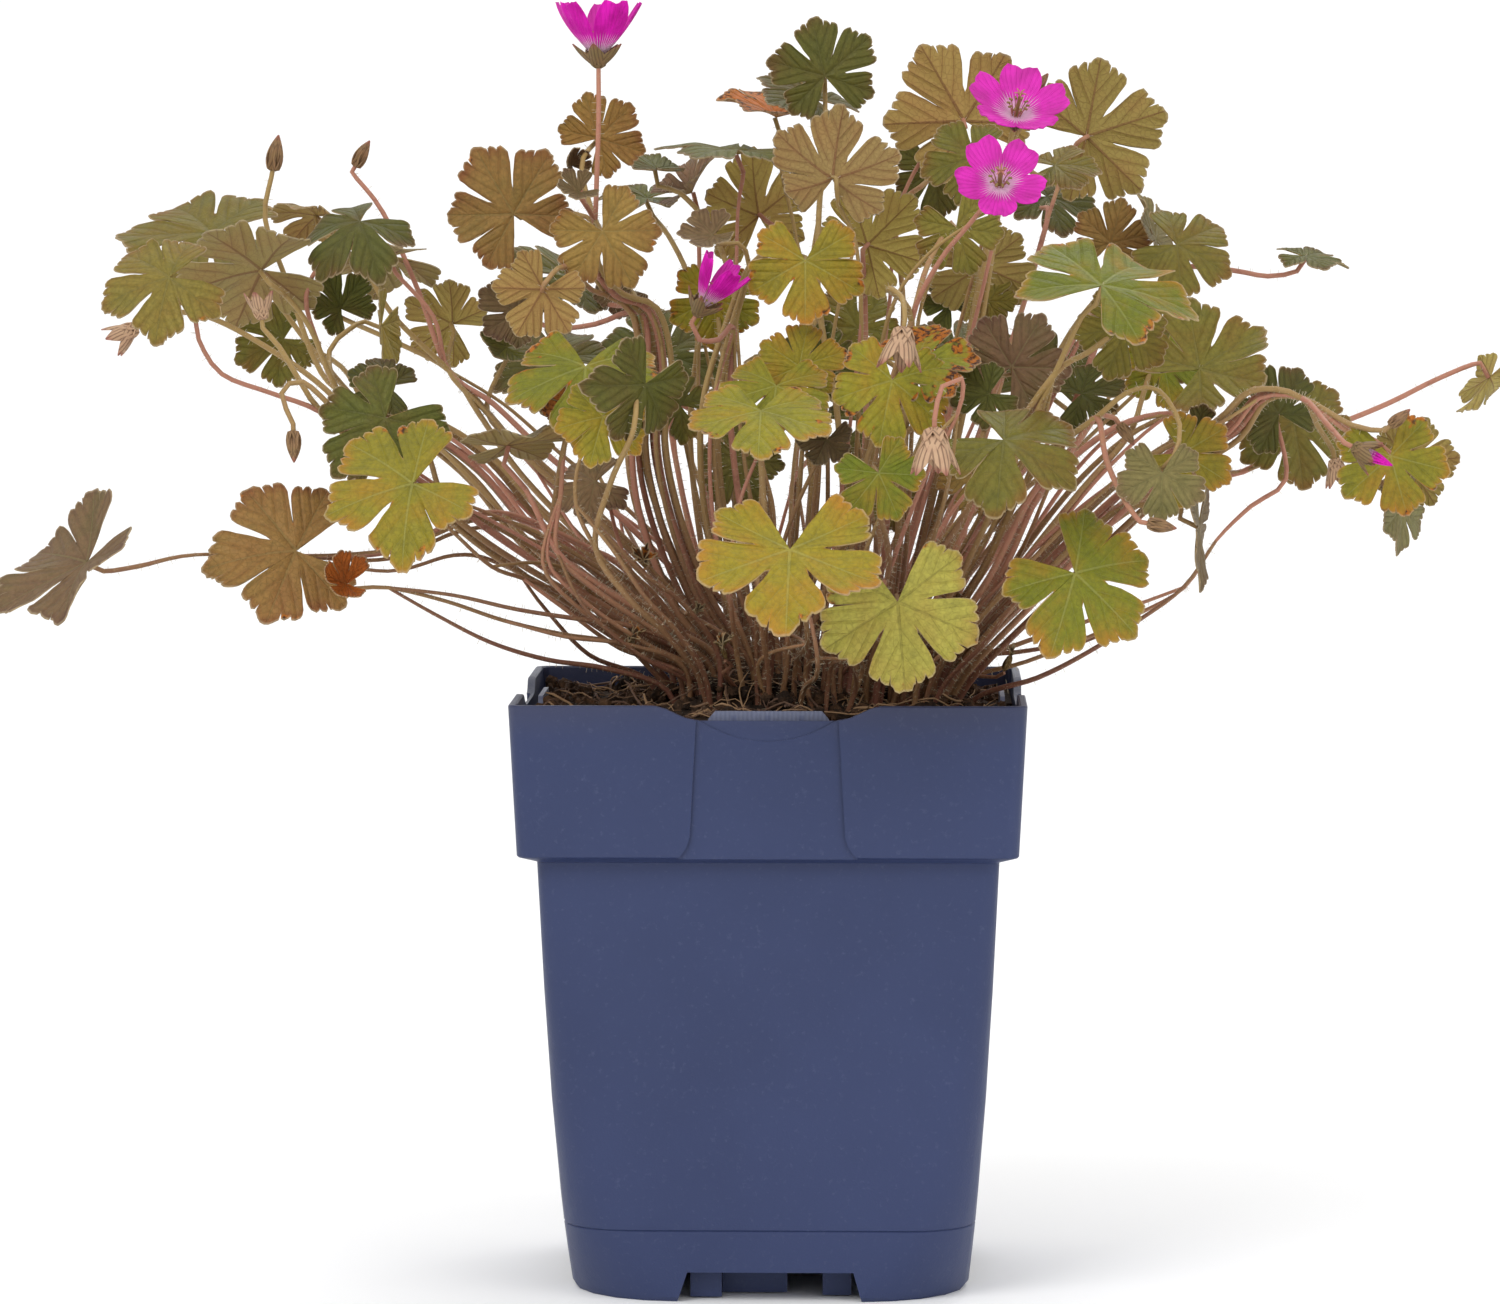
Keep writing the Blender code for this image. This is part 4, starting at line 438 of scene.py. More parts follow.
def leafFinish():
    made = Finish("leafBlade", Specular_IOR_Level=0.22)
    edge, under, own = made.parts(made.attribute("leafData"))
    tone = made.attribute("leafTone", "Color")
    blush = made.attribute("leafBlush", "Color")
    blotches = made.attribute("leafTone", "Alpha")
    paleness = made.attribute("leafBlush", "Alpha")
    along, aside = made.lobePlace()
    place = made.place()
    offset = abs(aside)
    # Veins: one along each lobe, pairs that leave it for the teeth, and a fine net between them.
    middle = 1.0 - made.step(offset - (1.1 - along) * 0.012, 0.0, 0.010)
    left = aside > 0.0
    turned = (along - offset * 1.45 - offset * offset * 0.8) * 4.0 + left * 0.4
    pairs = (1.0 - made.step(made.saw(turned), 0.006, 0.045)) * made.step(along, 0.16, 0.3)
    flat = made.node("ShaderNodeCombineXYZ", inputs={0: along, 1: aside, 2: own * 7.0})
    net = 1.0 - made.step(made.cells(flat, 15.0, "DISTANCE_TO_EDGE"), 0.0, 0.07)
    veins = made.maths("MAXIMUM", middle, pairs * 0.75)
    puff = (1.0 - made.step(made.saw(turned), 0.0, 0.30)) * made.step(along, 0.16, 0.3)
    puff = made.maths("MAXIMUM", 1.0 - made.step(offset, 0.0, 0.07), puff)
    patch = made.noise(place, 95.0, 4.0)
    grain = made.noise(place, 900.0, 3.0)
    upper = made.mix(made.step(patch, 0.42, 0.75, 0.0, 0.8), tone, made.mix(0.5, tone, blush))
    upper = made.mix(made.step(patch, 0.48, 0.28, 0.0, 0.55), upper, made.mix(0.5, upper, (0.05, 0.07, 0.008)))
    upper = made.mix(made.step(grain, 0.3, 0.75, 0.0, 0.45), upper, made.mix(0.55, upper, (0.02, 0.02, 0.005)))
    upper = made.mix((1.0 - puff) * 0.12, upper, made.mix(0.45, upper, (0.30, 0.29, 0.07)))
    veinTint = made.mix(paleness, (0.035, 0.026, 0.008), (0.46, 0.47, 0.17))
    upper = made.mix(veins * 0.40 + net * 0.12, upper, made.mix(0.62, upper, veinTint))
    # Margins redden, and the worst leaves have dry brown and orange blotches there.
    rim = made.step(edge + patch * 0.35, 1.0, 1.25)
    upper = made.mix(rim * 0.65, upper, blush)
    dry = made.step(made.noise(place, 210.0, 2.0) * 0.6 + edge * 0.4 + blotches * 0.32, 0.87, 0.93)
    upper = made.mix(dry, upper, made.mix(made.step(grain, 0.42, 0.62), (0.42, 0.13, 0.012), (0.06, 0.022, 0.010)))
    lower = made.mix(0.5, tone, (0.33, 0.225, 0.070))
    lower = made.mix(made.step(patch, 0.4, 0.7, 0.0, 0.6), lower, made.mix(0.5, lower, (0.30, 0.12, 0.05)))
    lower = made.mix((1.0 - puff) * 0.12, lower, (0.40, 0.33, 0.10))
    lower = made.mix(veins * 0.6 + net * 0.24, lower, (0.16, 0.065, 0.028))
    colour = made.mix(under, upper, lower)
    colour = made.mix(made.step(edge, 0.965, 0.995, 0.0, 0.55), colour, (0.42, 0.33, 0.20))
    height = (puff * -1.0 - veins * 0.5 - net * 0.35) * (1.0 - under * 2.0) + patch * 0.6 + grain * 0.18
    rough = made.step(patch, 0.2, 0.8, 0.50, 0.66) + under * 0.1
    return made.set(Base_Color=colour, Roughness=rough, Normal=made.bump(height, 0.0004, 0.7))


def stemFinish():
    made = Finish("stem", Specular_IOR_Level=0.3)
    along, kind, own = made.parts(made.attribute("stemData"))
    place = made.place()
    streak = made.noise(place, 260.0, 4.0, 0.6)
    fine = made.noise(place, 1500.0, 2.0)
    low, high = (0.185, 0.072, 0.046), (0.34, 0.225, 0.080)
    share = made.step(along + streak * 0.5 + own * 0.45, 0.25, 1.25)
    colour = made.mix(share, low, high)
    pink = made.step(own + streak * 0.3, 0.72, 0.92) * made.step(along, 0.0, 0.35)
    colour = made.mix(pink, colour, (0.40, 0.175, 0.115))
    colour = made.mix(made.step(streak, 0.55, 0.8, 0.0, 0.6), colour, (0.115, 0.040, 0.030))
    colour = made.mix(made.step(fine, 0.5, 0.8, 0.0, 0.4), colour, (0.40, 0.28, 0.15))
    colour = made.mix(kind, colour, made.mix(streak, (0.26, 0.16, 0.06), (0.17, 0.13, 0.03)))
    rough = made.step(streak, 0.3, 0.7, 0.45, 0.65)
    return made.set(Base_Color=colour, Roughness=rough, Normal=made.bump(streak + fine * 0.5, 0.0003, 0.6))


def hairFinish():
    made = Finish("fineHair", Roughness=0.7)
    light = made.noise(made.place(), 700.0)
    return made.set(Base_Color=made.mix(light, (0.34, 0.27, 0.17), (0.62, 0.56, 0.42)))


def petalFinish():
    made = Finish("petal", Specular_IOR_Level=0.15, Roughness=0.6)
    under = made.parts(made.attribute("leafData"))[1]
    along, aside = made.lobePlace()
    place = made.place()
    wobble = made.noise(place, 260.0) - 0.5
    fan = made.maths("ARCTAN2", aside * 0.42, along + 0.05)
    lines = made.step(made.saw(fan * 8.0 + wobble * 0.35), 0.28, 0.46)
    white = 1.0 - made.step(along + wobble * 0.25 - lines * 0.16, 0.12, 0.36)
    colour = made.mix(made.step(made.noise(place, 180.0), 0.3, 0.7), (0.44, 0.002, 0.25), (0.72, 0.010, 0.46))
    colour = made.mix(white, colour, (0.86, 0.68, 0.78))
    dark = made.step(made.saw(fan * 8.0 + 0.5 + wobble * 0.35), 0.40, 0.48) * made.step(along, 0.95, 0.3)
    colour = made.mix(dark * 0.55, colour, (0.36, 0.010, 0.24))
    colour = made.mix(under * 0.3, colour, (0.58, 0.08, 0.40))
    return made.set(Base_Color=colour, Normal=made.bump(lines + made.noise(place, 800.0) * 0.4, 0.00025, 0.7))


def sepalFinish():
    made = Finish("sepal", Specular_IOR_Level=0.3, Roughness=0.62)
    tone = made.attribute("leafTone", "Color")
    along, aside = made.lobePlace()
    place = made.place()
    ribs = 1.0 - made.step(made.saw(aside * 3.0 + 0.5), 0.05, 0.2)
    patch = made.noise(place, 380.0, 3.0)
    colour = made.mix(patch, tone, made.mix(0.5, tone, (0.34, 0.13, 0.09)))
    colour = made.mix(ribs * 0.6, colour, (0.11, 0.06, 0.035))
    colour = made.mix(made.step(along, 0.78, 1.0, 0.0, 0.7), colour, (0.28, 0.07, 0.06))
    return made.set(Base_Color=colour, Normal=made.bump(patch - ribs, 0.0003, 0.7))


def potFinish():
    made = Finish("potPlastic", Specular_IOR_Level=0.32)
    place = made.place()
    x, y, z = made.parts(place)
    cloud = made.noise(place, 9.0, 4.0, 0.6)
    dust = made.noise(place, 620.0, 3.0, 0.7)
    grain = made.noise(place, 2100.0, 2.0)
    colour = made.mix(made.step(cloud, 0.3, 0.7), (0.024, 0.036, 0.098), (0.031, 0.045, 0.118))
    colour = made.mix(made.step(dust, 0.56, 0.78, 0.0, 0.32), colour, (0.085, 0.10, 0.18))
    # Soil dust and drips near the rim, and pale rubbed flecks on the foot.
    colour = made.mix(made.step(z + cloud * 0.02, 0.150, 0.168, 0.0, 0.35), colour, (0.06, 0.05, 0.045))
    scuffs = made.step(made.noise(place, 55.0, 6.0, 0.75), 0.66, 0.8) * made.step(z, 0.05, 0.0)
    colour = made.mix(scuffs * 0.3, colour, (0.13, 0.145, 0.21))
    # The label tabs are paler, with fine upright ribs and three marks.
    reach = made.maths("MAXIMUM", abs(x), abs(y))
    across = made.maths("MINIMUM", abs(x), abs(y))
    tab = 1.0 - made.step(across, 0.0154, 0.0158)
    tab = tab * made.step(z, 0.1335, 0.1345) * (1.0 - made.step(reach, 0.0612, 0.0616))
    tab = tab * made.step(reach, 0.0575, 0.0580)
    marks = 1.0 - made.step(made.saw(across / 0.0085 + 0.5), 0.06, 0.10)
    marks = marks * tab * (1.0 - made.step(abs(z - 0.1495), 0.0008, 0.0011))
    ribs = made.saw(across * 900.0) * 2.0
    colour = made.mix(tab * 0.75, colour, made.mix(ribs * 0.5, (0.16, 0.18, 0.27), (0.25, 0.27, 0.38)))
    colour = made.mix(marks * 0.55, colour, (0.09, 0.11, 0.21))
    height = grain * 0.6 + dust * 0.8 + tab * ribs * 1.5
    rough = made.step(cloud, 0.2, 0.8, 0.36, 0.50) + dust * 0.06
    return made.set(Base_Color=colour, Roughness=rough, Normal=made.bump(height, 0.00012, 0.7))


def soilFinish():
    made = Finish("pottingSoil", Roughness=0.95, Specular_IOR_Level=0.2)
    place = made.place()
    lumps = made.cells(place, 420.0)
    fine = made.noise(place, 1300.0, 4.0, 0.65)
    wide = made.noise(place, 110.0, 4.0)
    colour = made.mix(made.step(wide, 0.3, 0.7), (0.018, 0.011, 0.007), (0.050, 0.028, 0.016))
    colour = made.mix(made.step(fine, 0.55, 0.75, 0.0, 0.6), colour, (0.12, 0.07, 0.04))
    return made.set(Base_Color=colour, Normal=made.bump(lumps + fine * 0.6 + wide, 0.0018, 1.0))


def crumbFinish():
    made = Finish("soilCrumb", Roughness=0.95, Specular_IOR_Level=0.2)
    place = made.place()
    fine = made.noise(place, 900.0, 3.0, 0.65)
    wide = made.noise(place, 160.0, 2.0)
    colour = made.mix(made.step(wide, 0.35, 0.65), (0.020, 0.012, 0.008), (0.085, 0.045, 0.024))
    colour = made.mix(made.step(fine, 0.6, 0.8, 0.0, 0.7), colour, (0.22, 0.13, 0.07))
    return made.set(Base_Color=colour, Normal=made.bump(fine, 0.0006, 1.0))


def rootFinish():
    made = Finish("rootFibre", Roughness=0.8)
    own = made.parts(made.attribute("stemData"))[2]
    fine = made.noise(made.place(), 700.0)
    colour = made.mix(made.step(own, 0.35, 0.65), (0.06, 0.028, 0.018), (0.33, 0.20, 0.10))
    return made.set(Base_Color=made.mix(fine * 0.5, colour, (0.20, 0.11, 0.06)))


finishes = {
    "blade": leafFinish(), "stem": stemFinish(), "hair": hairFinish(), "petal": petalFinish(),
    "sepal": sepalFinish(), "pot": potFinish(), "soil": soilFinish(), "crumb": crumbFinish(),
    "root": rootFinish(),
}
finishOrder = list(finishes)
print("finishes made:", len(finishes))


def seen(across, up, depth):  # the point at this depth on the sight line through (across, up)
    share = 1.0 - depth / eyeAt.y
    return Vector((eyeAt.x + (across - eyeAt.x) * share, depth, eyeAt.z + (up - eyeAt.z) * share))


def direction(turn, nearer):
    a, t = math.radians(turn), math.radians(nearer)
    return Vector((math.cos(t) * math.cos(a), -math.sin(t), math.cos(t) * math.sin(a)))


def facing(sideways, upwards):
    h, v = math.radians(sideways), math.radians(upwards)
    return Vector((math.sin(h) * math.cos(v), -math.cos(h) * math.cos(v), math.sin(v)))


def ring(ahead, across, other, count, shift=0.0):  # even directions round ahead, each with its side
    for k in range(count):
        turn = math.tau * (k + shift) / count
        out = across * math.cos(turn) + other * math.sin(turn)
        yield out, ahead.cross(out)


def leafAxes(leaf):  # its foot, the way its middle lobe points and the way its upper face looks
    ahead, face = direction(*leaf.point), facing(*leaf.face)
    return seen(*leaf.hub), ahead, (face - ahead * face.dot(ahead)).normalized()


def tapered(first, last, count):
    return [first + (last - first) * i / (count - 1) for i in range(count)]


class Gather:  # closed thin shells that become one mesh
    def __init__(self):
        self.verts, self.faces, self.spots, self.kinds = [], [], [], []
        self.tones, self.blushes, self.facts = [], [], []

    def shell(self, verts, faces, spots, thick, tone, blush, edges, own, kind):
        # verts: open sheet points in mm; spots: one (along, aside) list per face; edges: margin share per point
        verts = np.asarray(verts, float)
        normals = np.zeros_like(verts)
        uses = {}  # each way along an edge, in the order the faces use them
        for face in faces:
            a, b, c = verts[face[0]], verts[face[1]], verts[face[2]]
            n = np.cross(b - a, c - a)
            if len(face) == 4:
                n = n + np.cross(c - a, verts[face[3]] - a)
            for i in face:
                normals[i] += n
            for p, q in zip(face, face[1:] + face[:1]):
                uses[(p, q)] = True
        normals /= np.linalg.norm(normals, axis=1, keepdims=True) + 1e-12
        count, start = len(verts), len(self.verts)
        self.verts.extend((verts + normals * thick / 2).tolist())
        self.verts.extend((verts - normals * thick / 2).tolist())
        for side in (0.0, 1.0):
            self.tones.extend([(*tone, own)] * count if len(tone) == 3 else [tone] * count)
            self.blushes.extend([(*blush, 0.5) if len(blush) == 3 else blush] * count)
            self.facts.extend((e, side, own) for e in edges)
        for face, spot in zip(faces, spots):
            self.faces.append([start + i for i in face])
            self.spots.extend(spot)
            self.faces.append([start + count + i for i in reversed(face)])
            self.spots.extend(reversed(spot))
            self.kinds += [kind, kind]
        where = {}
        for face, spot in zip(faces, spots):
            for i, s in zip(face, spot):
                where[i] = s
        for p, q in uses:
            if (q, p) not in uses:  # an open edge, closed with a strip
                self.faces.append([start + q, start + p, start + count + p, start + count + q])
                self.spots.extend([where[q], where[p], where[p], where[q]])
                self.kinds.append(kind)

    def mesh(self, name):
        made = bpy.data.meshes.new(name)
        points = np.clip(np.array(self.verts) * mm, np.array(cadLow) + 1e-5, np.array(cadHigh) - 1e-5)
        made.from_pydata(points.tolist(), [], self.faces)
        for label, kind, values in (
            ("leafTone", "FLOAT_COLOR", self.tones), ("leafBlush", "FLOAT_COLOR", self.blushes),
            ("leafData", "FLOAT_VECTOR", self.facts)):
            layer = made.attributes.new(label, kind, "POINT")
            field = "color" if kind == "FLOAT_COLOR" else "vector"
            layer.data.foreach_set(field, np.array(values, np.float32).ravel())
        layer = made.uv_layers.new(name="lobe")
        layer.data.foreach_set("uv", np.array(self.spots, np.float32).ravel())
        for label in finishOrder:
            made.materials.append(finishes[label])
        made.polygons.foreach_set("material_index", [finishOrder.index(k) for k in self.kinds])
        made.shade_smooth()
        made.set_sharp_from_angle(angle=math.radians(55))
        return made


# A leaf: its lobes' turns and lengths, how deep the gaps go, where its foot ends, and its form.
leafShape = {
    "turns": (-122.0, -62.0, 0.0, 62.0, 122.0), "lengths": (0.84, 0.96, 1.0, 0.96, 0.84),
    "gap": 0.31, "foot": (0.30, 0.50),
    "rings": (0.12, 0.26, 0.42, 0.58, 0.74, 0.87, 1.0), "smallRings": (0.3, 0.62, 1.0),
    "pleat": 0.17, "thick": 0.34, "wave": 0.040, "ragged": 0.016, "droop": 0.20,
}
# Half a lobe's edge from its gap to its tip, as (along, aside).
halfLobe = (
    (0.36, 0.196), (0.48, 0.260), (0.60, 0.318), (0.68, 0.352), (0.74, 0.368), (0.80, 0.362), (0.842, 0.327),
    (0.850, 0.280), (0.822, 0.254), (0.866, 0.240), (0.902, 0.203), (0.896, 0.160), (0.812, 0.136),
    (0.866, 0.139), (0.918, 0.140), (0.930, 0.116), (0.968, 0.094), (0.994, 0.050), (1.0, 0.0),
)


def leafEdge(chance, simple):  # the outline: points, and the lobe that each gap between points belongs to
    half = halfLobe[1::2] + ((1.0, 0.0),) if simple else halfLobe
    half = tuple(dict.fromkeys(half))
    points, owners = [], []
    turns = leafShape["turns"]
    near, spread = leafShape["foot"]
    for i, turn in enumerate(turns):
        a = math.radians(turn + chance.uniform(-2.5, 2.5))
        size = leafShape["lengths"][i] * chance.uniform(0.93, 1.0)
        if i == 0:
            points.append((near * math.cos(a - spread), near * math.sin(a - spread)))
        whole = [(t, -s) for t, s in half] + [(t, s) for t, s in reversed(half[:-1])]
        for t, s in whole:
            t = t * (1 + chance.uniform(-1, 1) * leafShape["ragged"]) * size
            s = s * (1 + chance.uniform(-1, 1) * leafShape["ragged"]) * size
            owners.append(i)
            points.append((t * math.cos(a) - s * math.sin(a), t * math.sin(a) + s * math.cos(a)))
        owners.append(i)
        if i < len(turns) - 1:
            b = math.radians((turn + turns[i + 1]) / 2)
            deep = leafShape["gap"] * chance.uniform(0.88, 1.1)
            points.append((deep * math.cos(b), deep * math.sin(b)))
        else:
            points.append((near * math.cos(a + spread), near * math.sin(a + spread)))
    return points, owners


def lobeSpot(u, v, lobe):  # a point's (along, aside) in one lobe
    a = math.radians(leafShape["turns"][lobe])
    size = leafShape["lengths"][lobe]
    return ((u * math.cos(a) + v * math.sin(a)) / size, (v * math.cos(a) - u * math.sin(a)) / size)


def addLeaf(gather, leaf, chance):
    hub, ahead, face = leafAxes(leaf)
    left = face.cross(ahead)
    small = leaf.reach < 12.0
    outline, owners = leafEdge(chance, small)
    rings = leafShape["smallRings"] if small else leafShape["rings"]
    phase = [chance.uniform(0, 6.28) for _ in range(4)]
    wave = leafShape["wave"] * chance.uniform(0.6, 1.6)
    droops = [chance.uniform(-1.0, 0.6) * leafShape["droop"] for _ in range(5)]

    def lifted(u, v):
        r = math.hypot(u, v)
        turn = math.degrees(math.atan2(v, u))
        lobe = min(range(5), key=lambda k: abs(turn - leafShape["turns"][k]))
        aside = abs(lobeSpot(u, v, lobe)[1])
        fold = leafShape["pleat"] * (math.sqrt(aside * aside + 0.0016) - 0.04)
        a = math.radians(leaf.curl[0] + leaf.curl[1] * r)
        spin = math.radians(turn)
        z = r * math.sin(a) + fold
        z += wave * r * r * math.sin(3 * spin + phase[0]) + 0.5 * wave * r ** 3 * math.sin(8 * spin + phase[1])
        z += droops[lobe] * r * r * (1.0 - min(1.0, aside * 2.4) ** 2)
        z -= 0.05 * math.sin(15 * r + phase[2]) * r * aside
        return hub + (ahead * (u * math.cos(a)) + left * (v * math.cos(a)) + face * z) * leaf.reach

    verts, edges = [lifted(0.0, 0.0)], [0.0]
    for share in rings:
        for u, v in outline:
            verts.append(lifted(u * share, v * share))
            edges.append(share)
    count, faces, spots = len(outline), [], []
    for k in range(count - 1):
        lobe = owners[k]
        corner = [lobeSpot(u, v, lobe) for u, v in (outline[k], outline[k + 1])]
        faces.append([0, 1 + k, 2 + k])
        spots.append([(0.0, 0.0)] + [(c[0] * rings[0], c[1] * rings[0]) for c in corner])
        for j, (near, far) in enumerate(zip(rings, rings[1:])):
            low, high = 1 + j * count + k, 1 + (j + 1) * count + k
            faces.append([low, high, high + 1, low + 1])
            spots.append([(corner[c][0] * share, corner[c][1] * share)
                          for c, share in ((0, near), (0, far), (1, far), (1, near))])
    tone, blush, blotches, paleness = leafTones[leaf.tone]
    shade = chance.uniform(0.82, 1.2)
    tone = tuple(c * shade * chance.uniform(0.92, 1.08) for c in tone)
    tone = (*tone, blotches * chance.uniform(0.5, 1.5))
    gather.shell([tuple(v) for v in verts], faces, spots, leafShape["thick"], tone, (*blush, paleness), edges,
                 chance.random(), "blade")


# A sepal, and a petal with its notched and rippled end: rows along, columns across, and mm through.
sepalShape = {"rows": 7, "columns": 4, "thick": 0.3}
petalShape = {"rows": 10, "columns": 12, "thick": 0.22, "notch": 0.045, "ripple": 0.05}


def addTongue(gather, base, out, side, normal, length, width, bend, cup, shape, profile, tone, blush, own, kind):
    # a tongue-shaped blade that starts along out, bends towards normal, is cupped across and may be notched
    verts, edges, grid = [], [], []
    rows, columns = shape["rows"], shape["columns"]
    spot = Vector(base)
    for i in range(rows + 1):
        t = i / rows
        angle = math.radians(bend[0] + (bend[1] - bend[0]) * t)
        forward = out * math.cos(angle) + normal * math.sin(angle)
        rise = normal * math.cos(angle) - out * math.sin(angle)
        if i:
            spot = spot + forward * (length / rows)
        half = width * profile(t)
        for j in range(columns + 1):
            s = 2.0 * j / columns - 1.0
            back = shape.get("notch", 0.0) * length * max(0.0, 1.0 - abs(s) * 2.0) * max(0.0, t * 4.0 - 3.0)
            ripple = shape.get("ripple", 0.0) * width * t * math.sin(9.0 * s + 30.0 * own)
            verts.append(tuple(spot + side * (s * half) + rise * (cup * half * s * s + ripple) - forward * back))
            edges.append(t)
            grid.append((t, s * profile(t)))
    faces, spots = [], []
    for i in range(rows):
        for j in range(columns):
            a = i * (columns + 1) + j
            face = [a, a + 1, a + columns + 2, a + columns + 1]
            faces.append(face)
            spots.append([grid[n] for n in face])
    gather.shell(verts, faces, spots, shape["thick"], tone, blush, edges, own, kind)


def pointed(t):  # half width of a sepal along its length
    return max(0.05, math.sin(math.pi * min(1.0, 0.16 + 0.84 * t) ** 0.8) ** 0.8)


def rounded(t):  # half width of a petal: a narrow foot and a broad end
    if t < 0.7:
        return 0.16 + 0.84 * math.sin(math.pi / 2 * t / 0.7) ** 1.4
    return math.sqrt(max(0.0, 1.0 - ((t - 0.7) / 0.42) ** 2))


def headAxes(aim):  # the way a head points, and two ways across it
    ahead = direction(*aim)
    across = ahead.orthogonal().normalized()
    return ahead, across, ahead.cross(across)


def addHead(gather, head, chance):
    base = seen(*head.base)
    ahead, across, other = headAxes(head.aim)
    own = chance.random()
    if head.kind == "bud":  # furled sepals that overlap to a beaked spindle
        tone = (0.22, 0.15, 0.06)
        long = head.size * (0.66 if head.size > 11.5 else 0.85)
        for out, side in ring(ahead, across, other, 5):
            addTongue(gather, base - ahead * 0.4 + out * 0.25, ahead, side, out, long, 0.23 * long, (30, -26), -0.55,
                      sepalShape, pointed, (*tone, own), (0.2, 0.1, 0.05), own, "sepal")
        return
    tone = (0.52, 0.36, 0.22) if head.kind == "calyx" else (0.17, 0.14, 0.05)
    lift = 58 if head.kind == "calyx" else head.lift
    wide = (0.26 if head.kind == "calyx" else 0.27) * head.size
    for out, side in ring(ahead, across, other, 5):
        addTongue(gather, base, out, side, ahead, head.size * 1.04, wide, (lift - 14, lift + 16), 0.5,
                  sepalShape, pointed, (*tone, own), (0.3, 0.1, 0.05), own, "sepal")


def smoothLine(points, radii, gap):  # points about gap mm apart on a smooth curve through these, with radii
    line, thick = [], []
    count = len(points)
    for i in range(count - 1):
        p0, p1 = points[max(i - 1, 0)], points[i]
        p2, p3 = points[i + 1], points[min(i + 2, count - 1)]
        pieces = max(1, int((p2 - p1).length / gap))
        for k in range(pieces):
            t = k / pieces
            line.append(0.5 * (2 * p1 + (p2 - p0) * t + (2 * p0 - 5 * p1 + 4 * p2 - p3) * t * t
                               + (3 * p1 - p0 - 3 * p2 + p3) * t ** 3))
            thick.append(radii[i] + (radii[i + 1] - radii[i]) * t)
    return line + [points[-1]], thick + [radii[-1]]


def newTree(name, sizes):  # an empty geometry tree with these named number inputs
    tree = bpy.data.node_groups.new(name, "GeometryNodeTree")
    tree.interface.new_socket(name="Geometry", in_out="INPUT", socket_type="NodeSocketGeometry")
    for label, value in sizes.items():
        kind = "NodeSocketInt" if isinstance(value, int) else "NodeSocketFloat"
        tree.interface.new_socket(name=label, in_out="INPUT", socket_type=kind).default_value = value
    tree.interface.new_socket(name="Geometry", in_out="OUTPUT", socket_type="NodeSocketGeometry")
    nodes = Nodes(tree)
    entry = nodes.node("NodeGroupInput").socket.node
    return nodes, {socket.name: Field(nodes, socket) for socket in entry.outputs if socket.name}


def closeTree(nodes, geometry, finish):  # real geometry with its material, at the tree's end
    real = nodes.node("GeometryNodeRealizeInstances", inputs={0: geometry})
    coloured = nodes.node("GeometryNodeSetMaterial", inputs={"Geometry": real, "Material": finish})
    nodes.feed(nodes.tree.nodes.new("NodeGroupOutput").inputs[0], coloured)
    return nodes.tree


def grown(mesh, tree, sizes):  # the plain mesh that a tree makes of this one
    holder = bpy.data.objects.new("holder", mesh)
    scene.collection.objects.link(holder)
    step = holder.modifiers.new("grow", "NODES")
    step.node_group = tree
    for item in tree.interface.items_tree:
        if item.in_out == "INPUT" and item.name in sizes:
            step[item.identifier] = sizes[item.name]
    bpy.context.view_layer.update()
    made = bpy.data.meshes.new_from_object(holder.evaluated_get(bpy.context.evaluated_depsgraph_get()))
    bpy.data.objects.remove(holder)
    return made


def sweepTree(name, finish):  # round stems along paths, whose points carry their radius in "thick"
    nodes, entry = newTree(name, {"Sides": 8})
    curve = nodes.node("GeometryNodeMeshToCurve", inputs={0: entry["Geometry"]})
    thick = nodes.node("GeometryNodeInputNamedAttribute", {"data_type": "FLOAT"}, {"Name": "thick"})
    ringed = nodes.node("GeometryNodeCurvePrimitiveCircle", inputs={"Resolution": entry["Sides"], "Radius": 1.0})
    tubed = nodes.node("GeometryNodeCurveToMesh", inputs={
        "Curve": curve, "Profile Curve": ringed, "Scale": thick, "Fill Caps": True})
    smooth = nodes.node("GeometryNodeSetShadeSmooth", inputs={0: tubed})
    return closeTree(nodes, smooth, finish)


def pathMesh(lines):  # (points, radii, kind, own) rows as one mesh of edges
    verts, edges, thick, facts = [], [], [], []
    for points, radii, kind, own in lines:
        start = len(verts)
        verts += [tuple(p * mm) for p in points]
        edges += [(start + i, start + i + 1) for i in range(len(points) - 1)]
        thick += [r * mm for r in radii]
        height = [min(1.0, max(0.0, (p.z - 150.0) / 120.0)) for p in points]
        facts += [(h, kind, own) for h in height]
    mesh = bpy.data.meshes.new("paths")
    mesh.from_pydata(verts, edges, [])
    mesh.attributes.new("thick", "FLOAT", "POINT").data.foreach_set("value", thick)
    layer = mesh.attributes.new("stemData", "FLOAT_VECTOR", "POINT")
    layer.data.foreach_set("vector", np.array(facts, np.float32).ravel())
    return mesh


def scattered(nodes, entry):  # random points on the tree's mesh
    return nodes.node("GeometryNodeDistributePointsOnFaces", {"distribute_method": "RANDOM"}, {
        "Mesh": entry["Geometry"], "Density": entry["Density"], "Seed": entry["Seed"]})


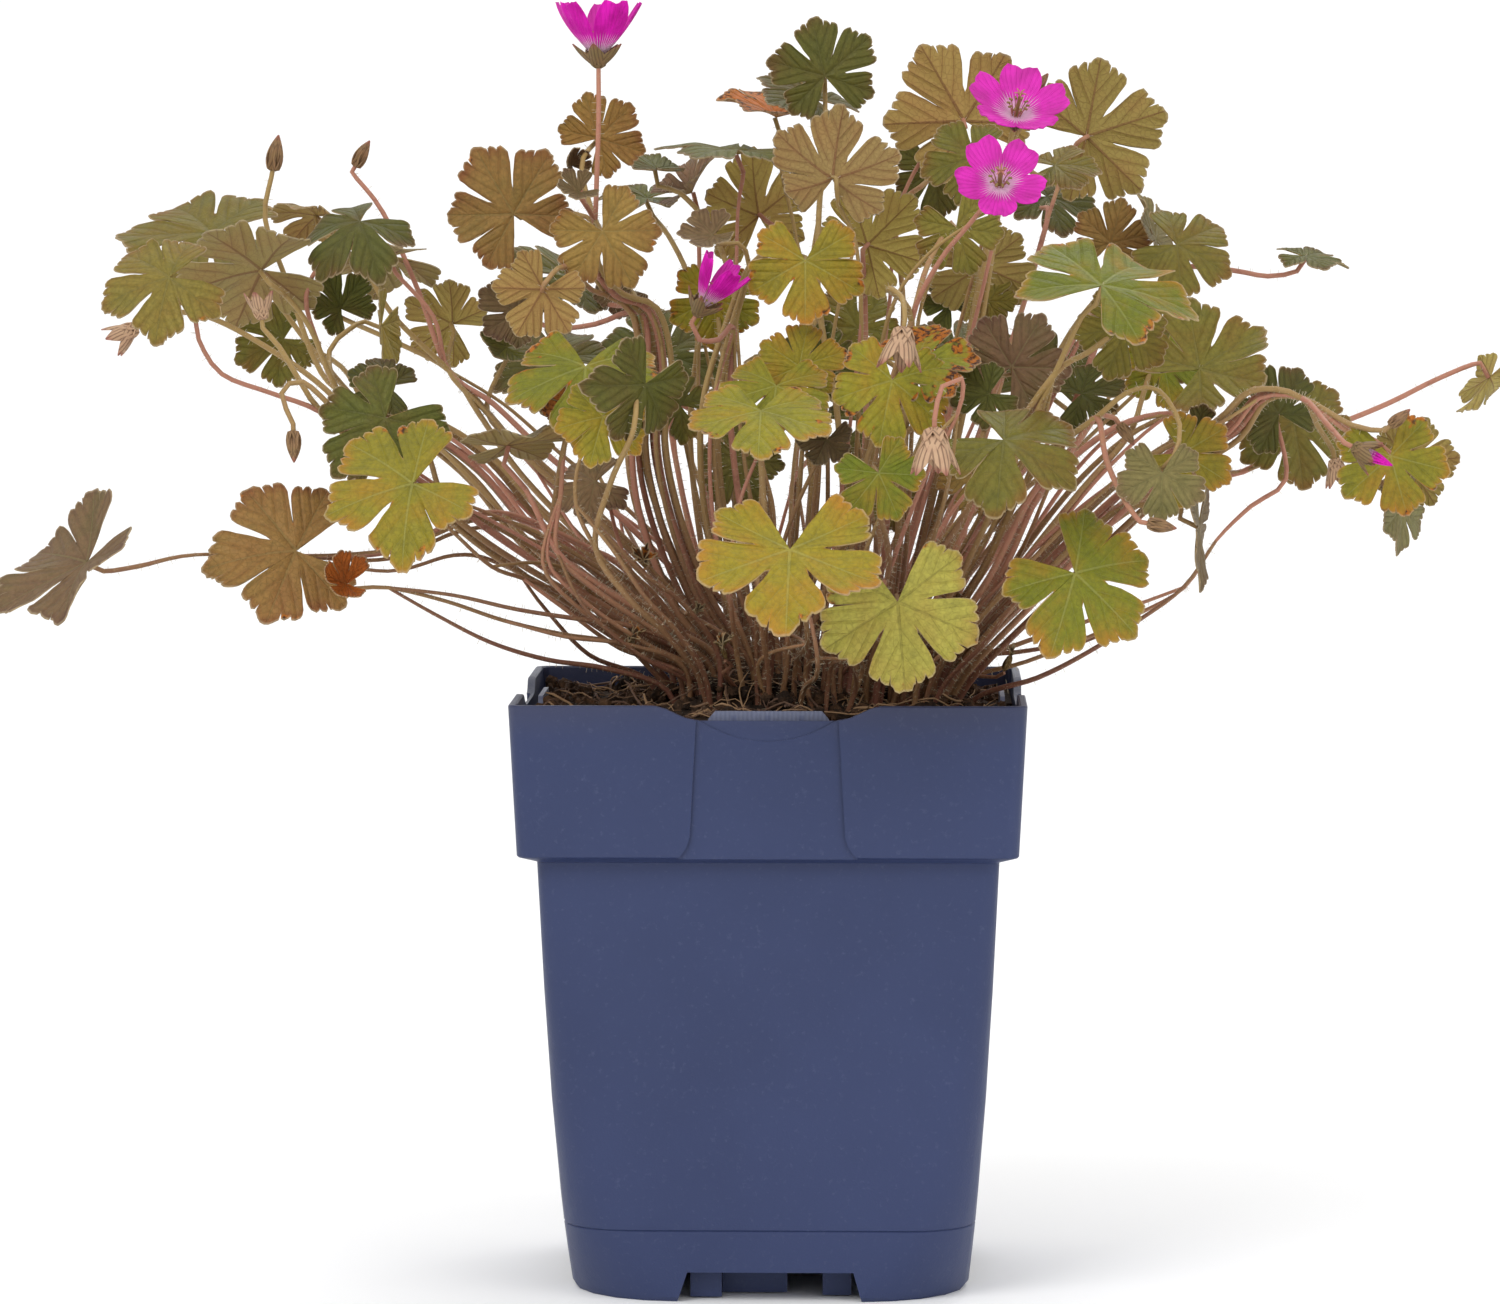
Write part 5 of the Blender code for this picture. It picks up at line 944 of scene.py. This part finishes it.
def hairTree():  # short hairs that stand on a surface
    nodes, entry = newTree("hairs", {"Density": 200000.0, "Long": 0.0012, "Seed": 3})
    dots = scattered(nodes, entry)
    turned = Field(nodes, dots.socket.node.outputs["Rotation"])
    hair = nodes.node("GeometryNodeMeshCone", {"fill_type": "NONE"}, {
        "Vertices": 3, "Radius Top": 0.04, "Radius Bottom": 0.05, "Depth": 1.0})
    length = nodes.node("FunctionNodeRandomValue", {"data_type": "FLOAT"}, {2: 0.5, 3: 1.2, "Seed": 5}, out=1)
    placed = nodes.node("GeometryNodeInstanceOnPoints", inputs={
        "Points": dots, "Instance": hair, "Rotation": turned, "Scale": length * entry["Long"]})
    return closeTree(nodes, placed, finishes["hair"])


stemTree = sweepTree("stems", finishes["stem"])
rootTree = sweepTree("roots", finishes["root"])
hairsTree = hairTree()


def newPiece(name, meshes):  # one object of these meshes, riding the pot's body
    parts = []
    for mesh in meshes:
        one = bpy.data.objects.new(name, mesh)
        scene.collection.objects.link(one)
        parts.append(one)
    if len(parts) > 1:
        with bpy.context.temp_override(active_object=parts[0], object=parts[0], selected_objects=parts,
                                       selected_editable_objects=parts):
            bpy.ops.object.join()
    piece = parts[0]
    piece.name = name
    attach(piece, "root")
    return piece


def stalkEnd(leaf):  # the stalk's last places, up to the leaf's foot
    hub, ahead, face = leafAxes(leaf)
    near = hub - (ahead * 0.35 + face).normalized() * min(5.0, leaf.reach * 0.35)
    return [*[seen(*p) for p in leaf.via], near, hub + ahead * 0.4 - face * 0.3]


# Radii in mm at a stalk's foot and leaf, the stem's share of its CAD radius, how far stalks stray, where stems start
# in the soil, the spacing of their points, and the old stalks: their number, first share and last radius.
shootDetail = {
    "stalk": (0.95, 0.62), "main": 0.46, "loose": 6.0, "rootHigh": 140.0, "rootDraw": 0.9, "step": 3.0,
    "spare": 3, "spareShare": 0.85, "spareThin": 0.42, "spareStray": 1.5,
}


def strayed(line, chance, loose):  # the same way, wandering a little aside in the middle
    total = len(line) - 1
    across = (line[-1] - line[0]).orthogonal().normalized()
    other = (line[-1] - line[0]).normalized().cross(across)
    turn, far = chance.uniform(0.0, 6.28), chance.uniform(0.4, 1.0) * loose
    spin = chance.uniform(-1.6, 1.6)
    made = []
    for i, point in enumerate(line):
        t = i / total
        a = turn + spin * t
        away = far * (math.sin(math.pi * t) ** 0.7 + 0.3 * (1 - t))
        made.append(point + (across * math.cos(a) + other * math.sin(a)) * away)
    return made


def buildShoot(shoot, number):
    chance = random.Random(100 + number)
    gather = Gather()
    stem = [seen(*p) for p in shoot.stem]
    draw = shootDetail["rootDraw"]
    line = [Vector((stem[0].x * draw, stem[0].y * draw, shootDetail["rootHigh"])), *stem]
    radii = [r * shootDetail["main"] for r in tapered(*shoot.thick, len(line))]
    stalks = [(leaf.start, stalkEnd(leaf)) for leaf in shoot.leaves]
    for head in shoot.heads:
        base, ahead = seen(*head.base), direction(*head.aim)
        stalks.append((head.start, [*[seen(*p) for p in head.via], base - ahead * 2.0, base + ahead * 0.5]))
    thick, thin = shootDetail["stalk"]
    lead = next(places for start, places in stalks if start == -1)
    rows = []

    def addRow(way, sizes):  # one stem or stalk along this way
        rows.append((*smoothLine(way, sizes, shootDetail["step"]), 0.0, chance.random()))

    addRow(line + lead, radii + [thin] * len(lead))
    for start, places in stalks:  # every stalk runs down beside the stem, to its own root
        if places is not lead:
            at = len(line) - 1 if start == -1 else start + 1
            way = strayed(line[:at + 1], chance, shootDetail["loose"]) + places
            addRow(way, tapered(thick, thin, len(way)))
    for _ in range(shootDetail["spare"]):  # old stalks that lost their leaves
        way = line[:max(3, len(line) - chance.randint(0, 2))]
        way = strayed(way, chance, shootDetail["loose"] * shootDetail["spareStray"])
        addRow(way, tapered(thick * shootDetail["spareShare"], shootDetail["spareThin"], len(way)))
    for leaf in shoot.leaves:
        addLeaf(gather, leaf, chance)
    for head in shoot.heads:
        addHead(gather, head, chance)
    stems = grown(pathMesh(rows), stemTree, {"Sides": 8})
    hairs = grown(stems, hairsTree, {"Density": 350000.0, "Long": 0.0011, "Seed": number})
    piece = newPiece(shoot.name + "_dressed", [gather.mesh(shoot.name), stems, hairs])
    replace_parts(piece, shoot.name)


# Dead leaf scraps on the crown, and the small leaves that grow between the larger shoots.
scraps = (
    Leaf((-33, 184, -22), 10, (250, 20), (10, 50), (60, 60), "dry"),
    Leaf((-36, 162, -20), 9, (200, 10), (0, 50), (50, 70), "dry"),
    Leaf((-22, 172, -18), 8, (290, 0), (20, 40), (60, 50), "dry"),
    Leaf((60, 157, -8), 9, (330, 10), (0, 60), (50, 60), "dry"),
    Leaf((16, 166, -26), 8, (240, 10), (-20, 50), (60, 60), "dry"),
    Leaf((34, 163, -20), 9, (300, 10), (10, 60), (60, 50), "dry"),
    Leaf((-12, 160, -30), 9, (210, 20), (0, 60), (60, 60), "dry"),
    Leaf((46, 176, -10), 8, (280, 0), (10, 40), (50, 60), "brown"),
)
fillers = (
    Leaf((-100, 231, 6), 12, (160, 0), (0, 40), (0, -10), "dark"),
    Leaf((14, 217, -6), 13, (250, 10), (10, 40), (30, 20), "brown"),
    Leaf((-8, 212, 10), 14, (230, 0), (0, 40), (5, -15), "dark"),
    Leaf((28, 206, 16), 14, (300, 0), (10, 45), (5, -15), "olive"),
    Leaf((56, 253, 30), 9, (60, 0), (0, 40), (0, -10), "olive"),
    Leaf((46, 252, 34), 9, (120, 0), (0, 40), (0, -10), "dark"),
    Leaf((80, 229, 26), 13, (20, 0), (0, 45), (0, -10), "dark"),
    Leaf((100, 238, 24), 12, (40, 0), (0, 45), (0, -10), "olive"),
    Leaf((-46, 206, 12), 13, (200, 0), (0, 45), (0, -15), "brown"),
    Leaf((52, 208, 8), 13, (320, 0), (0, 45), (0, -15), "bronze"),
    Leaf((-24, 226, 20), 14, (150, 0), (0, 45), (0, -10), "olive"),
    Leaf((12, 236, 24), 13, (80, 0), (0, 45), (0, -10), "dark"),
)
# Where their stalks start, in mm up and as a share of the way out, how far they stray, and their radii.
litterForm = {"crown": 150.0, "draw": 0.3, "stray": 6, "stalk": (0.7, 0.6, 0.5)}


def buildLitter():  # these leaves, each on its own stalk from the crown
    chance = random.Random(77)
    gather, rows = Gather(), []
    draw, stray = litterForm["draw"], litterForm["stray"]
    first, second, rest = litterForm["stalk"]
    for leaf in (*scraps, *fillers):
        addLeaf(gather, leaf, chance)
        hub = seen(*leaf.hub)
        foot = Vector((hub.x * draw + chance.uniform(-stray, stray), hub.y * draw + chance.uniform(-stray, stray),
                       litterForm["crown"]))
        middle = foot.lerp(hub, 0.55) + Vector((chance.uniform(-stray, stray), chance.uniform(-stray, stray), 2.0))
        near = stalkEnd(leaf)
        sizes = [first, second] + [rest] * len(near)
        rows.append((*smoothLine([foot, middle, *near], sizes, shootDetail["step"]), 0.0, chance.random()))
    stems = grown(pathMesh(rows), stemTree, {"Sides": 8})
    newPiece("crown_litter", [gather.mesh("litter"), stems])


for number, shoot in enumerate(shoots):
    buildShoot(shoot, number)
buildLitter()
print("shoots dressed:", len(shoots), "and crown leaves:", len(scraps) + len(fillers))


def buildBloom(bloom, number):
    chance = random.Random(900 + number)
    gather = Gather()
    ahead, across, other = headAxes(bloom.aim)
    base = seen(*bloom.base) + ahead * bloom.seat
    rows = []
    if bloom.wide == 0:  # still furled: petals wrapped round each other
        for out, side in ring(ahead, across, other, 5):
            addTongue(gather, base + out * 0.2, ahead, side, out, bloom.reach, 0.17 * bloom.reach, (16, -14), -0.6,
                      sepalShape, pointed, (0.6, 0.03, 0.5, 1.0), (0.6, 0.1, 0.5), chance.random(), "petal")
        rows.append(([base - ahead * 0.3, base + ahead * bloom.reach * 0.6], [0.7, 0.3], 1.0, 0.5))
    else:
        low, rise = bloom.lift
        for out, side in ring(ahead, across, other, 5, 0.5):
            wide = bloom.wide * chance.uniform(0.94, 1.02)
            long = bloom.reach * chance.uniform(0.97, 1.02)
            addTongue(gather, base + ahead * 1.0 + out * 0.4, out, side, ahead, long, wide,
                      (low - 4, low + rise + 4), 0.18, petalShape, rounded, (0.7, 0.03, 0.5, 1.0), (0.6, 0.1, 0.5),
                      chance.random(), "petal")
        tip = base + ahead * (bloom.pistil + 3.0)
        rows.append(([base, base + ahead * 2.0, tip], [0.9, 0.6, 0.35], 1.0, 0.9))
        for out, _ in ring(ahead, across, other, 5):  # the stigma's arms, and stamens round it
            rows.append(([tip - ahead * 0.3, tip + ahead * 0.9 + out * 0.7, tip + ahead * 0.9 + out * 1.7],
                         [0.25, 0.22, 0.15], 0.0, 1.0))
        for out, _ in ring(ahead, across, other, 10, 0.5):
            foot = base + out * 0.8
            top = foot + ahead * bloom.pistil
            rows.append(([foot, foot + ahead * (bloom.pistil * 0.7) + out * 0.9, top + out * 1.6],
                         [0.16, 0.14, 0.14], 0.0, 1.0))
            rows.append(([top + out * 1.2, top + out * 2.2], [0.34, 0.3], 1.0, 0.2))
    stems = grown(pathMesh(rows), stemTree, {"Sides": 6})
    piece = newPiece(bloom.name + "_dressed", [gather.mesh(bloom.name), stems])
    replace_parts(piece, bloom.name)


for number, bloom in enumerate(blooms):
    buildBloom(bloom, number)
print("blooms dressed:", len(blooms))

# Soil: the crown's mound with clods, crumbs on it and roots; the tab pockets stay free.
soilForm = {
    "level": 148.4, "rise": 10.5, "spread": 33.0, "clods": 1.3, "half": 60.5, "cells": 60, "roots": 330,
    "rootSizes": (0.12, 0.16, 0.22, 0.35),
    "crumbs": {"Density": 140000.0, "Small": 0.0004, "Large": 0.0021, "Seed": 7},
}


def soilHigh(x, y):
    away = math.hypot(x, y)
    mound = soilForm["rise"] * max(0.0, 1.0 - (away / soilForm["spread"]) ** 2)
    clods = math.sin(0.31 * x + 1.3 * math.sin(0.17 * y)) + math.cos(0.27 * y + 1.1 * math.sin(0.23 * x))
    return soilForm["level"] + mound + soilForm["clods"] * clods * min(1.0, away / 20.0)


def inPocket(x, y, half, deep):  # within one of the four tab pockets at the walls
    return min(abs(x), abs(y)) < half and max(abs(x), abs(y)) > deep


def crumbTree():  # crumbs strewn over a surface
    nodes, entry = newTree("crumbs", {"Density": 60000.0, "Small": 0.0006, "Large": 0.0022, "Seed": 1})
    dots = scattered(nodes, entry)
    stone = nodes.node("GeometryNodeMeshIcoSphere", inputs={"Radius": 1.0, "Subdivisions": 2})
    rough = nodes.node("ShaderNodeTexNoise", inputs={"Scale": 1.3, "Detail": 2.0}, out="Color")
    shifted = nodes.node("ShaderNodeVectorMath", {"operation": "SUBTRACT"}, {0: rough, 1: (0.5, 0.5, 0.5)})
    shifted = nodes.node("ShaderNodeVectorMath", {"operation": "SCALE"}, {0: shifted, "Scale": 1.6})
    stone = nodes.node("GeometryNodeSetPosition", inputs={"Geometry": stone, "Offset": shifted})
    spun = nodes.node("FunctionNodeRandomValue", {"data_type": "FLOAT_VECTOR"}, {
        0: (0, 0, 0), 1: (6.28, 6.28, 6.28), "Seed": 2})
    size = nodes.node("FunctionNodeRandomValue", {"data_type": "FLOAT"}, {2: 0.0, 3: 1.0, "Seed": 4}, out=1)
    size = entry["Small"] + size * size * size * (entry["Large"] - entry["Small"])
    placed = nodes.node("GeometryNodeInstanceOnPoints", inputs={
        "Points": dots, "Instance": stone, "Rotation": spun, "Scale": size})
    return closeTree(nodes, placed, finishes["crumb"])


def buildSoil():
    half, cells = soilForm["half"], soilForm["cells"]
    verts, faces = [], []
    for i in range(cells + 1):
        for j in range(cells + 1):
            x, y = half * (2 * i / cells - 1), half * (2 * j / cells - 1)
            verts.append((x * mm, y * mm, (soilHigh(x, y) - 0.2) * mm))
    for i in range(cells):
        for j in range(cells):
            x, y = half * (2 * (i + 0.5) / cells - 1), half * (2 * (j + 0.5) / cells - 1)
            if not inPocket(x, y, 17.0, 57.0):
                a = i * (cells + 1) + j
                faces.append((a, a + cells + 1, a + cells + 2, a + 1))
    ground = bpy.data.meshes.new("ground")
    ground.from_pydata(verts, [], faces)
    newPiece("soil_crumbs", [grown(ground, crumbTree(), soilForm["crumbs"])])
    chance = random.Random(5)
    rows = []
    for _ in range(soilForm["roots"]):
        x, y = chance.uniform(-56, 56), chance.uniform(-56, 56)
        turn, bend, lift = chance.uniform(0, 6.28), chance.uniform(-0.25, 0.25), 0.0
        line = []
        for _ in range(chance.randint(5, 16)):
            if max(abs(x), abs(y)) > 59.0 or inPocket(x, y, 17.5, 56.5):
                break
            lift = max(-0.2, lift + chance.uniform(-0.7, 0.8))
            line.append(Vector((x, y, soilHigh(x, y) + 0.1 + min(lift, 5.0))))
            turn += bend + chance.uniform(-0.35, 0.35)
            x, y = x + 2.0 * math.cos(turn), y + 2.0 * math.sin(turn)
        if len(line) > 3:
            line[0].z = soilHigh(line[0].x, line[0].y) - 0.6
            thick = chance.choice(soilForm["rootSizes"])
            sizes = [thick] * (len(line) - 1) + [thick * 0.4]
            rows.append((*smoothLine(line, sizes, 1.5), 0.0, chance.random()))
    newPiece("soil_roots", [grown(pathMesh(rows), rootTree, {"Sides": 5})])


buildSoil()

# The pot's skin: points closer than this in m are one, and edges under or over these degrees are flat or sharp.
potSkin = {"merge": 1e-6, "flat": 0.3, "sharp": 28, "weight": 80}


def dressPot():  # the frame's pot as one smooth skin
    skin = bmesh.new()
    skin.from_mesh(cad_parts["pot"].data)
    bmesh.ops.remove_doubles(skin, verts=skin.verts, dist=potSkin["merge"])
    bmesh.ops.dissolve_limit(skin, angle_limit=math.radians(potSkin["flat"]), verts=skin.verts, edges=skin.edges)
    skin.verts.index_update()
    mesh = bpy.data.meshes.new("pot")
    faces = [[v.index for v in face.verts] for face in skin.faces]
    mesh.from_pydata([tuple(v.co) for v in skin.verts], [], faces)
    skin.free()
    mesh.materials.append(finishes["pot"])
    mesh.shade_smooth()
    mesh.set_sharp_from_angle(angle=math.radians(potSkin["sharp"]))
    holder = bpy.data.objects.new("holder", mesh)
    scene.collection.objects.link(holder)
    step = holder.modifiers.new("weigh", "WEIGHTED_NORMAL")
    step.keep_sharp, step.weight = True, potSkin["weight"]
    skinned = bpy.data.meshes.new_from_object(holder.evaluated_get(bpy.context.evaluated_depsgraph_get()))
    bpy.data.objects.remove(holder)
    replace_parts(newPiece("pot_dressed", [skinned]), "pot")


dressPot()
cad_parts["soil"].data.materials.clear()
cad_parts["soil"].data.materials.append(finishes["soil"])
print("pot and soil finished")

# Studio: a pale floor that curves up behind, soft lamps, and the camera at the photograph's place.
studio = {"floor": (0.93, 0.93, 0.93), "world": 0.85, "key": 16.0, "fill": 7.0, "back": 9.0}


def buildStudio():
    rows = [(-3.0, 0.0), (1.2, 0.0)]
    rows += [(1.2 + 0.8 * math.sin(a), 0.8 - 0.8 * math.cos(a)) for a in [math.radians(9 * k) for k in range(1, 11)]]
    rows.append((2.0, 4.0))
    verts = [(x, y, z) for y, z in rows for x in (-5.0, 5.0)]
    faces = [(2 * i, 2 * i + 1, 2 * i + 3, 2 * i + 2) for i in range(len(rows) - 1)]
    mesh = bpy.data.meshes.new("studioFloor")
    mesh.from_pydata(verts, [], faces)
    mesh.shade_smooth()
    look = Finish("studioFloor", Roughness=0.85, Specular_IOR_Level=0.2)
    shade = look.noise(look.place(), 1.5)
    darker = tuple(0.98 * c for c in studio["floor"])
    mesh.materials.append(look.set(Base_Color=look.mix(shade, studio["floor"], darker)))
    floor = bpy.data.objects.new("studioFloor", mesh)
    scene.collection.objects.link(floor)
    world = bpy.data.worlds.new("studio")
    world.use_nodes = True
    world.node_tree.nodes["Background"].inputs["Color"].default_value = (1.0, 1.0, 1.0, 1.0)
    world.node_tree.nodes["Background"].inputs["Strength"].default_value = studio["world"]
    scene.world = world
    lamps = (("key", (-0.9, -1.3, 1.5), 1.0), ("fill", (1.3, -1.2, 0.8), 1.2), ("back", (0.3, 1.0, 1.6), 1.0))
    for label, spot, size in lamps:
        light = bpy.data.lights.new(label, "AREA")
        light.energy, light.size = studio[label], size
        lamp = bpy.data.objects.new(label, light)
        lamp.location = spot
        lamp.rotation_euler = (Vector((0, 0, 0.17)) - Vector(spot)).to_track_quat("-Z", "Y").to_euler()
        scene.collection.objects.link(lamp)
    camera = bpy.data.objects.new("camera", bpy.data.cameras.new("camera"))
    camera.data.lens, camera.data.sensor_width = photo["lens"], photo["sensor"]
    camera.data.clip_start = 0.05
    camera.matrix_world = (Matrix.Translation(eyeAt * mm) @ Matrix.Rotation(math.radians(photo["turn"]), 4, "Z")
                           @ Matrix.Rotation(math.radians(90 - photo["tilt"]), 4, "X"))
    scene.collection.objects.link(camera)
    scene.camera = camera
    scene.view_settings.view_transform = "Standard"


buildStudio()
print("studio ready")
